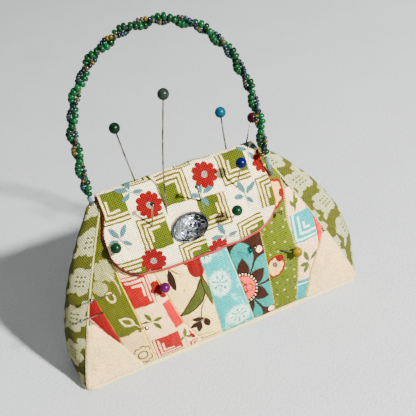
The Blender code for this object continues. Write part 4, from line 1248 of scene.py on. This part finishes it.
def flap_surface(across, travel, lift, extra):
    """Points of the flap. Travel is 0 at the front shoulder, and grows over the ridge to the back."""
    across, travel, lift = np.broadcast_arrays(across, travel, lift)
    on_front = travel < 0.0
    on_back = travel > FLAP_ARC
    turn = np.pi * np.clip(travel / FLAP_ARC, 0.0, 1.0)
    z = np.where(on_front, SHOULDER_Z + travel, SHOULDER_Z - (travel - FLAP_ARC))
    z = np.where(on_front | on_back, z, SHOULDER_Z + (RIDGE_RISE + GAP + lift) * np.sin(turn))
    flare = np.where(on_front, flap_flare(z), 0.0)
    x = FLAP_CENTRE + FLAP_DRIFT * flare + (FLAP_HALF_WIDTH + FLAP_FLARE * flare + extra) * across
    lump = 0.45 * np.clip(0.4 + smooth_noise(x, 0 * x, 17.0, 0.7), 0.0, 1.4) * (1.0 - (across ** 2) ** 3)
    z = np.where(on_front | on_back, z, z + lump * np.sin(turn) ** 0.5)
    side = np.clip(abs(x) / side_x(z), 0.0, 1.0)
    depth = half_depth(np.minimum(z, SHOULDER_Z)) + FACE_BULGE * (1.0 - side * side) * swell(z)
    front_push = stuffing.face(x, np.minimum(z, SHOULDER_Z), -1)
    back_push = stuffing.face(x, np.minimum(z, SHOULDER_Z), 1)
    lean = middle_y(np.minimum(z, SHOULDER_Z))
    y = np.where(on_front, lean - (depth + front_push + lift), lean + depth + back_push + lift)
    y = np.where(on_front | on_back, y, RIDGE_LEAN - (RIDGE_HALF_DEPTH + lift) * np.cos(turn))
    return settled(x, y, z), x, z


def flap_start(across, extra):
    """How far below the shoulder the flap's front edge lies, as a negative travel."""
    half = FLAP_HALF_WIDTH + FLAP_FLARE
    x = FLAP_CENTRE + FLAP_DRIFT + half * across
    edge = FLAP_EDGE_Z + FLAP_EDGE_CURVE * (x - FLAP_EDGE_X) ** 2 - extra
    into_corner = np.clip((abs(across) * half - (half - FLAP_CORNER)) / FLAP_CORNER, 0.0, 0.985)
    return edge + FLAP_CORNER * (1.0 - np.sqrt(1.0 - into_corner ** 2)) - SHOULDER_Z


def flap_sheet(name, node, low, thick, extra, sideways_extra, roll, material, slot):
    """One layer of the flap as a closed sheet with a rounded, slightly wavy edge."""
    across = np.sin(np.linspace(-0.5 * np.pi, 0.5 * np.pi, 150))
    starts = flap_start(across, extra)
    end = FLAP_ARC + SHOULDER_Z - FLAP_BACK_Z
    down = 1.0 - np.sin(np.linspace(0.0, 0.5 * np.pi, 80))[:, None] ** 0.8
    ridge = np.repeat(np.linspace(0.0, FLAP_ARC, 30)[1:, None], len(across), axis=1)
    back = np.repeat(np.linspace(FLAP_ARC, end, 26)[1:, None], len(across), axis=1)
    travel = np.concatenate([starts[None, :] * down, ridge, back])
    wide = np.repeat(across[None, :], len(travel), axis=0)
    half = FLAP_HALF_WIDTH + FLAP_FLARE
    sideways = (1.0 - abs(wide)) * half
    upwards = (travel - starts[None, :]) * np.clip(1.25 - abs(wide) ** 6, 0.25, 1.0)
    edge = np.minimum(np.minimum(sideways, upwards), end - travel + 0.05)
    over_ridge = np.clip(travel, 0.0, FLAP_ARC) * (FLAP_OVER_RIDGE / FLAP_ARC - 1.0)
    z_flat = SHOULDER_Z + travel + over_ridge
    x_flat = FLAP_CENTRE + FLAP_DRIFT + half * wide
    low_corner, high_corner = node_box("button_setting")
    button_x, _, button_z = (low_corner + high_corner) / 2
    away = np.hypot((x_flat - button_x) / 1.3, z_flat - button_z)
    loose = np.clip(-travel / 12.0, 0.0, 1.0)
    broad = 0.35 * smooth_noise(x_flat, z_flat, 26.0, 5.0)
    narrow = 0.12 * smooth_noise(x_flat, z_flat, 9.0, 2.2)
    wave = loose * (broad + narrow)
    free = loose * 0.9 * np.exp(-np.clip(upwards, 0, None) / 5.0)
    pin_foot = np.hypot(x_flat - LONG_PIN_FOOT[0], z_flat - LONG_PIN_FOOT[1])
    dimple = -0.55 * np.exp(-(away / 7.0) ** 2) - 0.6 * np.exp(-(pin_foot / 4.0) ** 2)
    hang = wave + free + dimple + 0.25 * loose
    puff = (0.05 + 0.30 * loose) * np.clip(edge / 3.0, 0.0, 1.0) ** 0.6
    over = low + thick + hang + puff * (thick > 0.6) - rounding(edge, roll)
    under = low + hang + rounding(edge, roll) * 0.4
    outer, x, _ = flap_surface(wide, travel, over, sideways_extra)
    inner, _, _ = flap_surface(wide, travel, np.minimum(under, over - 0.15), sideways_extra)
    cloth = np.stack([x, z_flat, edge], axis=-1)
    piece = shell(name, outer, inner, cloth, material)
    settle_in(piece, "bag", slot, node)
    return piece


def flap_print():
    """Olive squares with nested cream lines, red flowers and blue-grey sprigs on off-white."""
    paint = Paint("flap_print").cloth()
    paint.ground("E8E4D8")
    width, height = 11.65, 12.9
    a = (paint.u + 33.3) / width
    b = (paint.v - 37.0) / height
    column, row = a.floor(), b.floor()
    parity = column + row
    parity = parity - (parity / 2.0).floor() * 2.0
    x = (a - column - 0.5) * (2.0 * width / 10.8)
    y = (b - row - 0.5) * (2.0 * height / 11.9)
    square = (1.0 - abs(x).higher(abs(y))).cover(32.0).lower(1.0 - parity)
    paint.dye(square, "7E8A26")
    top_middle = (0.5 - abs(column - 2.0)).lower(0.5 - abs(row - 2.0)).above(0.0)
    middle_right = (0.5 - abs(column - 3.0)).lower(0.5 - abs(row - 1.0)).above(0.0)
    middle = (0.5 - abs(row - 1.0)).above(0.0)
    bottom = row.below(0.5)
    right_side = top_middle.higher(middle_right)
    upper_side = top_middle.higher(bottom).higher(middle - middle_right)
    p = x * (right_side * 2.0 - 1.0)
    q = y * (upper_side * 2.0 - 1.0)
    near, far = p.higher(q), p.lower(q)
    lines = None
    for level, reach in ((0.82, 1.0), (0.55, 0.95), (0.28, 0.45)):
        line = (0.062 - abs(near - level)).lower(far + reach)
        lines = line if lines is None else lines.higher(line)
    paint.dye(lines.cover(18.0).lower(square), "EFE8D6")
    for centre, size, signs in (((-16.0, 77.0), (5.2, 2.9), (1, -1)), ((1.6, 77.4), (3.2, 2.7), (-1, -1))):
        paint.dye(paint.box(centre, size), "7E8A26")
        edges = paint.nested(centre, size, signs, ((0.72, 0.08, 1.0), (0.36, 0.08, 0.8)))
        paint.dye(edges, "E9E4D0")
    for centre, turn in (((-28.5, 57.5), 10.0), ((-19.6, 72.6), 40.0), ((4.6, 63.3), -20.0),
                         ((20.2, 58.0), -8.0), ((8.6, 46.0), 60.0), ((26.6, 73.4), -30.0),
                         ((-7.0, 83.0), 0.0), ((16.0, 84.0), 30.0), ((-22.0, 88.0), 10.0)):
        cell = paint.local(centre, (1.0, 1.0), turn)
        leaves = (((0.0, 0.4), (-1.9, 5.4), 1.05), ((0.4, 0.4), (4.6, 4.4), 1.05),
                  ((-0.4, -0.4), (-4.6, 0.2), 0.95), ((0.4, -0.8), (3.0, -3.8), 0.8))
        paint.dye(paint.sprig((-0.4, 1.2), leaves, (0.9, -4.0), cell), "7FA9AE")
    for centre, radius in (((-14.6, 66.2), 4.9), ((8.1, 69.8), 4.9), ((-19.6, 46.6), 4.7), ((4.8, 42.0), 4.4),
                           ((31.0, 67.6), 4.7), ((-2.0, 86.0), 4.8), ((20.0, 90.0), 4.8)):
        flower = paint.petals(centre, radius, 10, 0.24)
        paint.dye(flower.cover(4.0), "C40408")
        paint.dye(paint.ellipse(centre, (1.15, 1.15)), "BDB9B2")
    woven(paint, 1.0)
    return paint.finish()


def lining_print():
    """Mottled coral lining, with painted shade darkening its left end."""
    paint = Paint("flap_lining").cloth()
    paint.ground("E2978A")
    paint.dye((paint.noise(0.16, 2.0) - 0.60).cover(10.0), "F2752C")
    paint.dye((0.5 - paint.noise(0.25, 2.0)).cover(5.0) * 0.5, "E0706E")
    # Painted shade: dark maroon over the left end, where the lining lies in shadow.
    paint.dye(((paint.u * -1.0) - 26.0).cover(0.4) * 0.85, "6E2A33")
    woven(paint)
    return paint.finish()


def make_flap():
    """The flap's lining and its print cotton, both made as closed sheets."""
    lining = flap_sheet("flap_lining_cloth", "flap_lining", GAP, 0.8, LINING_SHOWS, LINING_SHOWS_SIDE, 0.35,
                        lining_print(), "flap_lining")
    outer = flap_sheet("flap_outer_cloth", "flap_outer", GAP + LINING + GAP, COTTON, 0.0, 0.0, 0.55,
                       flap_print(), "flap_print")


# --- Button -------------------------------------------------------------------------------------

def button_matrix():
    """Where the button sits, with its axis along Z."""
    low, high = node_box("button_setting")
    centre = Vector((low + high) / 2)
    axis = Vector((0.0, -math.cos(BUTTON_TILT), math.sin(BUTTON_TILT)))
    across = Vector((1.0, 0.0, 0.0))
    upward = axis.cross(across)
    turn = Matrix((across, upward, axis)).transposed().to_4x4()
    return Matrix.Translation(centre - axis * 0.75) @ turn


def placed(points, matrix):
    """Points moved by a matrix."""
    points = np.asarray(points, dtype=float)
    turn = np.array(matrix.to_3x3())
    return points @ turn.T + np.array(matrix.translation)


def lathe(profile, sides, stretch=1.0):
    """Points and faces of a profile of (radius, height) turned round Z, closed at both ends."""
    angle = np.linspace(0, 2 * np.pi, sides, endpoint=False)
    points = [(r * math.cos(a), r * stretch * math.sin(a), h) for r, h in profile for a in angle]
    return np.array(points), ring_faces(len(profile), sides)


def make_button():
    """The button's rim, its stone and its thread."""
    place = button_matrix()
    metal = Paint("button_metal")
    metal.ground("B9BABD")
    where = metal.in_object()
    metal.tint(metal.noise(900.0, 3.0, where) * 0.4 + 0.7)
    metal.bump(metal.noise(2500.0, 3.0, where), 0.3, 0.00005)
    metal.set(Metallic=1.0, Roughness=0.28)
    profile = [(0.2, 0.05), (5.5, 0.0), (6.8, 0.05), (7.2, 0.45), (7.25, 1.0), (7.1, 1.5), (6.85, 1.65),
               (6.6, 1.5), (6.5, 1.1), (6.4, 0.7), (0.2, 0.65)]
    points, faces = lathe(profile, 72, 5.6 / 7.2)
    setting = mesh_object("button_rim", placed(points, place), faces, metal.finish(), sharp=40)
    settle_in(setting, "bag", "button_metal", "button_setting")

    foil = Paint("foil_stone")
    foil.ground("94989F")
    where = foil.in_object()
    shard_tone_and_painted_light = foil.attribute("shard_tone_and_painted_light")
    tone_and_painted_light = Num(foil, shard_tone_and_painted_light.outputs["Fac"])
    # Painted light: facets go dark where the attribute is low and white where it is high; its tilt puts
    # painted shade to the lower right and a painted highlight to the upper left.
    foil.dye((0.44 - tone_and_painted_light).cover(14.0), "101326")
    foil.dye((tone_and_painted_light - 0.66).cover(14.0), "FAFBFC")
    crackle = foil.noise(1300.0, 4.0, where)
    foil.tint(crackle * 0.5 + 0.72)
    foil.bump(crackle, 0.5, 0.00012)
    foil.set(Metallic=0.92, Roughness=0.14, Coat_Weight=0.8, Coat_Roughness=0.05)
    build_gem(place, foil.finish())
    thread = thread_material("button_thread", "DAD6CA")
    frame["nodes"]["button_thread"].material_slots[0].material = thread


def build_gem(place, material):
    """A domed stone of crumpled foil: many small flat facets at odd angles, each with a random tone plus
    painted light, a painted highlight to the upper left and painted shade to the lower right.
    """
    rows, sides = 11, 26
    points = []
    for i in range(rows):
        share = i / (rows - 1)
        for j in range(sides):
            turn = 2 * math.pi * (j + 0.5 * (i % 2)) / sides
            radius = math.cos(share * math.pi / 2) ** 0.8
            height = 0.9 + 3.0 * math.sin(share * math.pi / 2) ** 1.1
            jitter = RNG.normal(0.0, 1.0, 3) * (0.20, 0.16, 0.14) * (1.0 if 0 < i < rows - 1 else 0.0)
            points.append((6.35 * radius * math.cos(turn) + jitter[0],
                           4.85 * radius * math.sin(turn) + jitter[1], height + jitter[2]))
    faces = []
    for i in range(rows - 1):
        for j in range(sides):
            k = (j + 1) % sides
            a, b, c, d = (i * sides + j, i * sides + k, (i + 1) * sides + k, (i + 1) * sides + j)
            faces += [(a, b, c), (a, c, d)] if (i + j) % 2 else [(a, b, d), (b, c, d)]
    faces.append(tuple(range(sides - 1, -1, -1)))
    top = len(points)
    points.append((0.0, 0.0, 3.95))
    faces += [((rows - 1) * sides + j, (rows - 1) * sides + (j + 1) % sides, top) for j in range(sides)]
    gem = mesh_object("button_stone", placed(points, place), faces, material, smooth=False)
    layer = gem.data.attributes.new("shard_tone_and_painted_light", "FLOAT", "FACE")
    corners = np.array([np.mean([points[v][:2] for v in face], axis=0) for face in faces])
    # Painted light: each facet's random tone is tilted lighter to the upper left and darker to the lower
    # right.
    painted_light_slope = 0.52 - 0.085 * corners[:, 0] + 0.075 * corners[:, 1]
    facet_tones_with_painted_light = np.clip(painted_light_slope + RNG.normal(0.0, 0.22, len(faces)), 0.0, 1.0)
    layer.data.foreach_set("value", facet_tones_with_painted_light.astype(np.float32))
    settle_in(gem, "bag", "foil_stone", "button_gem")


# --- Handle -------------------------------------------------------------------------------------

def smooth_route():
    """Evenly spaced points along the curve through the handle's route, and its length."""
    route = np.array(HANDLE_ROUTE)
    ends = np.concatenate([[2 * route[0] - route[1]], route, [2 * route[-1] - route[-2]]])
    fine = []
    for i in range(len(route) - 1):
        p0, p1, p2, p3 = ends[i:i + 4]
        for t in np.linspace(0, 1, 60, endpoint=False):
            fine.append(0.5 * (2 * p1 + (p2 - p0) * t + (2 * p0 - 5 * p1 + 4 * p2 - p3) * t * t
                               + (3 * p1 - p0 - 3 * p2 + p3) * t ** 3))
    fine.append(route[-1])
    fine = np.array(fine)
    travel = np.concatenate([[0], np.cumsum(np.linalg.norm(np.diff(fine, axis=0), axis=1))])
    even = np.linspace(0, travel[-1], 1601)
    return np.stack([np.interp(even, travel, fine[:, k]) for k in range(3)], axis=-1), travel[-1]


def strand_path(route, length, phase):
    """One strand's path, wound round the handle's route."""
    ahead = np.gradient(route, axis=0)
    ahead /= np.linalg.norm(ahead, axis=1, keepdims=True)
    forward = np.array([0.0, -1.0, 0.0])
    sideways = np.cross(ahead, forward)
    sideways /= np.linalg.norm(sideways, axis=1, keepdims=True)
    forward = np.cross(sideways, ahead)
    turns = phase + 2 * np.pi * np.linspace(0, length, len(route)) / TWIST_PITCH
    return route + STRAND_OFFSET * (np.cos(turns)[:, None] * forward + np.sin(turns)[:, None] * sideways)


def resample(path, spacing):
    """Points at an even spacing along a path."""
    travel = np.concatenate([[0], np.cumsum(np.linalg.norm(np.diff(path, axis=0), axis=1))])
    count = int(travel[-1] / spacing)
    even = (np.arange(count) + 0.5) * travel[-1] / count
    return np.stack([np.interp(even, travel, path[:, k]) for k in range(3)], axis=-1)


BEAD_SIDES = 16
GREEN_SPACING, GREEN_SIZE = 1.84, 1.16          # millimetres between beads, and times the profile
SHINE_SPACING, SHINE_SIZE = 1.24, 0.76
# A bead's (radius, height) outline.
BEAD_PROFILE = ((0.36, -0.60), (0.62, -0.72), (0.93, -0.64), (1.12, -0.34), (1.17, 0.0), (1.12, 0.34),
                (0.93, 0.64), (0.62, 0.72), (0.36, 0.60))


def beads(name, path, spacing, size, material, node, slot):
    """A string of glass seed beads, each a little different in size and tilt."""
    centres = resample(path, spacing)
    ahead = np.gradient(centres, axis=0)
    template, faces = lathe(BEAD_PROFILE, BEAD_SIDES)
    points, all_faces, tone = [], [], []
    for index, (centre, way) in enumerate(zip(centres, ahead)):
        way = Vector(way + RNG.normal(0.0, 0.10, 3) * spacing).normalized()
        turn = np.array(way.to_track_quat("Z", "Y").to_matrix())
        grow = size * (1.0 + RNG.normal(0.0, 0.045))
        shape = template * (grow, grow, size * (1.0 + RNG.normal(0.0, 0.07)))
        shape = shape @ turn.T + centre + RNG.normal(0.0, 0.06, 3)
        points.append(shape)
        all_faces += [tuple(v + index * len(template) for v in face) for face in faces]
        tone += [RNG.random()] * len(template)
    piece = mesh_object(name, np.concatenate(points), all_faces, material, layers={"tone": np.array(tone)})
    settle_in(piece, "handle", slot, node)


def glass_material(name, dark, mid, light, metallic, tones):
    """Bead glass in three tones, chosen for each bead by its tone attribute."""
    paint = Paint(name)
    tone = Num(paint, paint.attribute("tone").outputs["Fac"])
    place = paint.in_object()
    paint.ground(mid)
    streak = paint.noise(600.0, 3.0, place)
    paint.dye((tones[0] - tone).cover(3.0), dark)
    paint.dye((tone - tones[1]).cover(3.0), light)
    paint.tint(streak * 0.7 + 0.65)
    paint.set(Metallic=metallic, Roughness=0.22, Coat_Weight=0.12, Coat_Roughness=0.05)
    paint.set(Specular_IOR_Level=0.12)
    paint.bump(streak, 0.15, 0.00006)
    return paint.finish()


def make_handle():
    """Both bead strings with their wires, the end beads and the knots."""
    route, length = smooth_route()
    green = glass_material("beads_green", "023014", "035225", "0A7036", 0.0, (0.22, 0.80))
    shine = glass_material("beads_iridescent", "101C22", "2C4C56", "7E6820", 0.2, (0.36, 0.78))
    beads("beads_green_string", strand_path(route, length, 0.0), GREEN_SPACING, GREEN_SIZE, green,
          "bead_strand_green", "beads_green")
    beads("beads_iridescent_string", strand_path(route, length, math.pi), SHINE_SPACING, SHINE_SIZE, shine,
          "bead_strand_iridescent", "beads_iridescent")
    wire = thread_material("handle_thread", "3C3A2E")
    for phase, name in ((0.0, "a"), (math.pi, "b")):
        core = tube("handle_wire_" + name, strand_path(route, length, phase)[::6], 0.33, 8, wire)
        settle_in(core, "handle", "handle_thread")
    bugle = Paint("end_bead")
    bugle.ground("86A6AE")
    place = bugle.in_object()
    bugle.dye((bugle.noise(500.0, 2.0, place) - 0.55).cover(6.0), "5E7F8C")
    bugle.tint(bugle.noise(1500.0, 2.0, place) * 0.5 + 0.75)
    bugle.set(Metallic=0.2, Roughness=0.2, Coat_Weight=0.2, Coat_Roughness=0.05, Specular_IOR_Level=0.2)
    bugle_glass = bugle.finish()
    for side in ("left", "right"):
        end_bead(side, bugle_glass)
        knot(side, wire)


def node_axis(node):
    """The two ends of a straight CAD piece, in millimetres, and the unit vector between them."""
    points, _ = node_mesh(node)
    centre = points.mean(axis=0)
    _, _, ways = np.linalg.svd(points - centre)
    way = ways[0] if ways[0][2] > 0 else -ways[0]
    along = (points - centre) @ way
    return centre + way * along.min(), centre + way * along.max(), way


def end_bead(side, material):
    """The thin bead at one end of the handle."""
    start, end, way = node_axis("end_bead_" + side)
    length = np.linalg.norm(end - start)
    profile = [(0.25, 0.0), (0.6, 0.05), (0.72, 0.2), (0.75, length / 2), (0.72, length - 0.2),
               (0.6, length - 0.05), (0.25, length)]
    points, faces = lathe(profile, 12)
    turn = np.array(Vector(way).to_track_quat("Z", "Y").to_matrix())
    piece = mesh_object("bugle_" + side, points @ turn.T + start, faces, material, sharp=50)
    settle_in(piece, "handle", "end_bead", "end_bead_" + side)


def knot(side, material):
    """A lump of wound thread that sews one end of the handle to the bag."""
    low, high = node_box("handle_knot_" + side)
    centre = (low + high) / 2
    turns = np.linspace(0, 2 * np.pi * 7, 260)
    tilt = turns * 0.37
    winding = np.stack([np.cos(turns) * np.cos(tilt), np.cos(turns) * np.sin(tilt), np.sin(turns)], axis=-1)
    piece = tube("knot_" + side, centre + 0.72 * winding, 0.24, 6, material)
    settle_in(piece, "bag", "handle_thread", "handle_knot_" + side)


# --- Pins ---------------------------------------------------------------------------------------

LONG_PIN_BOW = 1.1           # how far the longest pin is bent at its middle, and the others
PIN_BOW = 0.12

# Each pearl head's main colour and its darker clouds.
PEARLS = {
    "green_tall": ("023218", "02200E"), "grey_long": ("2C4036", "141E1A"), "turquoise": ("0A7492", "06485C"),
    "plum": ("52042A", "2A0416"), "navy": ("08146C", "040834"), "emerald": ("034C24", "022C14"),
    "leaf_green": ("034828", "022A16"), "magenta": ("8A0876", "46043C"), "yellow": ("C49E0A", "705C06"),
}
# How much of each pin is inside the cushion, as in the CAD.
PIN_INSIDE = {
    "green_tall": 22.0, "grey_long": 16.0, "turquoise": 20.0, "plum": 14.0, "navy": 18.0,
    "emerald": 20.0, "leaf_green": 13.0, "magenta": 20.0, "yellow": 20.0,
}
STEEL_PINS = ("flap_left", "flap_middle", "right_seam", "under_flap", "low_left", "left_upper", "left_lower")


def pull_axis(name):
    """The direction in which a pin is pulled out."""
    for joint in frame["joints"]:
        if joint["name"] == "pull_" + name:
            return Vector(joint["axis"]).normalized()
    raise KeyError(name)


def steel_material():
    """Slightly worn steel."""
    paint = Paint("pin_steel")
    paint.ground("C6C3BA")
    place = paint.in_object()
    worn = paint.noise(260.0, 3.0, place)
    paint.dye((worn - 0.52).cover(6.0), "857D70")
    paint.tint(paint.noise(3000.0, 2.0, place) * 0.3 + 0.85)
    paint.set(Metallic=1.0, Roughness=0.24)
    return paint.finish()


def pearl_material(name, mid, dark):
    """Clouded pearl with a soft coat."""
    paint = Paint("pearl_" + name)
    paint.ground(mid)
    place = paint.in_object()
    cloud = paint.noise(420.0, 3.0, place)
    paint.dye((cloud - 0.48).cover(4.0) * 0.6, dark)
    paint.tint(paint.noise(1800.0, 2.0, place) * 0.25 + 0.88)
    paint.bump(paint.noise(900.0, 2.0, place), 0.10, 0.00005)
    paint.set(Roughness=0.3, Coat_Weight=0.16, Coat_Roughness=0.24, Specular_IOR_Level=0.04)
    return paint.finish()


def shaft_points(tip, top, radius, bow=0.0, entry=0.0):
    """A pin's shaft from its point to its top, bowed a little outside the cloth."""
    length = (top - tip).length
    way = (top - tip).normalized()
    across = way.cross(Vector((0.0, 1.0, 0.0))).normalized()
    heights = np.concatenate([[0.0, 0.6, 1.3, 2.2], np.linspace(2.2, length, 30)[1:]])
    taper = np.clip(heights / 2.2, 0.10, 1.0)
    outside = np.clip((heights - entry) / max(length - entry, 1e-6), 0.0, 1.0)
    path = np.array([tip + way * float(h) + across * float(bow * math.sin(math.pi * s) * (1 - 0.35 * s))
                     for h, s in zip(heights, outside)])
    return path, taper * radius


def make_pins():
    """All the pins, those with pearl heads first."""
    steel = steel_material()
    for name in PEARLS:
        pearl_pin(name, steel)
    for name in STEEL_PINS:
        steel_pin("steel_" + name, steel)


def pearl_pin(name, steel):
    """A steel shaft and its round pearl head."""
    mid, dark = PEARLS[name]
    way = pull_axis(name)
    body = "pin_" + name
    low, high = node_box("pin_head_" + name)
    centre = Vector((low + high) / 2)
    points, _ = node_mesh("pin_shaft_" + name)
    along = points @ np.array(way)
    middle = points.mean(axis=0)
    base = Vector(middle - np.array(way) * (middle @ np.array(way)))
    tip, top = base + way * float(along.min()), base + way * float(along.max())
    bow = LONG_PIN_BOW if name == "grey_long" else PIN_BOW
    path, radii = shaft_points(tip, top, 0.30, bow, PIN_INSIDE[name])
    shaft = tube("shaft_" + name, path, 1.0, 10, steel, taper=radii)
    settle_in(shaft, body, "pin_steel", "pin_shaft_" + name)
    angles = np.linspace(-0.5 * np.pi + 0.17, 0.5 * np.pi - 0.02, 26)
    profile = [(0.34, -1.72), (0.40, -1.93)] + [(2.0 * math.cos(a), 2.0 * math.sin(a)) for a in angles]
    ball, faces = lathe(profile, 36)
    turn = np.array(way.to_track_quat("Z", "Y").to_matrix())
    pearl = mesh_object("pearl_" + name, ball @ turn.T + np.array(centre), faces,
                        pearl_material(name, mid, dark))
    settle_in(pearl, body, "pearl_" + name, "pin_head_" + name)


def steel_pin(name, steel):
    """A short pin with a small flat head, turned in one piece."""
    way = pull_axis(name)
    points, _ = node_mesh("pin_" + name)
    along = points @ np.array(way)
    high = points[along > along.max() - 0.7].mean(axis=0)
    base = Vector(high - np.array(way) * (high @ np.array(way)))
    length = float(along.max() - along.min())
    profile = [(0.03, 0.0), (0.12, 0.6), (0.22, 1.4), (0.30, 2.3), (0.30, length - 1.0),
               (0.33, length - 0.75), (0.62, length - 0.66), (0.84, length - 0.50),
               (0.88, length - 0.36), (0.80, length - 0.18), (0.55, length - 0.05), (0.2, length)]
    shape, faces = lathe(profile, 20)
    turn = np.array(way.to_track_quat("Z", "Y").to_matrix())
    start = np.array(base + way * float(along.min()))
    piece = mesh_object("plain_" + name, shape @ turn.T + start, faces, steel, sharp=60)
    settle_in(piece, "pin_" + name, "pin_steel", "pin_" + name)


# --- The whole scene ----------------------------------------------------------------------------

def make_floor():
    """A plain pale floor with a fine grain."""
    points = [(-3000, -3000, 0), (3000, -3000, 0), (3000, 3000, 0), (-3000, 3000, 0)]
    floor = Paint("floor")
    floor.ground("D5D6D6")
    place = floor.in_object()
    floor.tint(floor.noise(600.0, 3.0, place) * 0.26 + floor.noise(26.0, 3.0, place) * 0.16 + 0.79)
    floor.bump(floor.noise(900.0, 3.0, place), 0.6, 0.0004)
    floor.set(Roughness=0.95)
    mesh_object("floor", points, [(0, 1, 2, 3)], floor.finish(), smooth=False)


make_camera()
make_light()
make_floor()
make_body()
make_flap()
make_button()
make_handle()
make_pins()
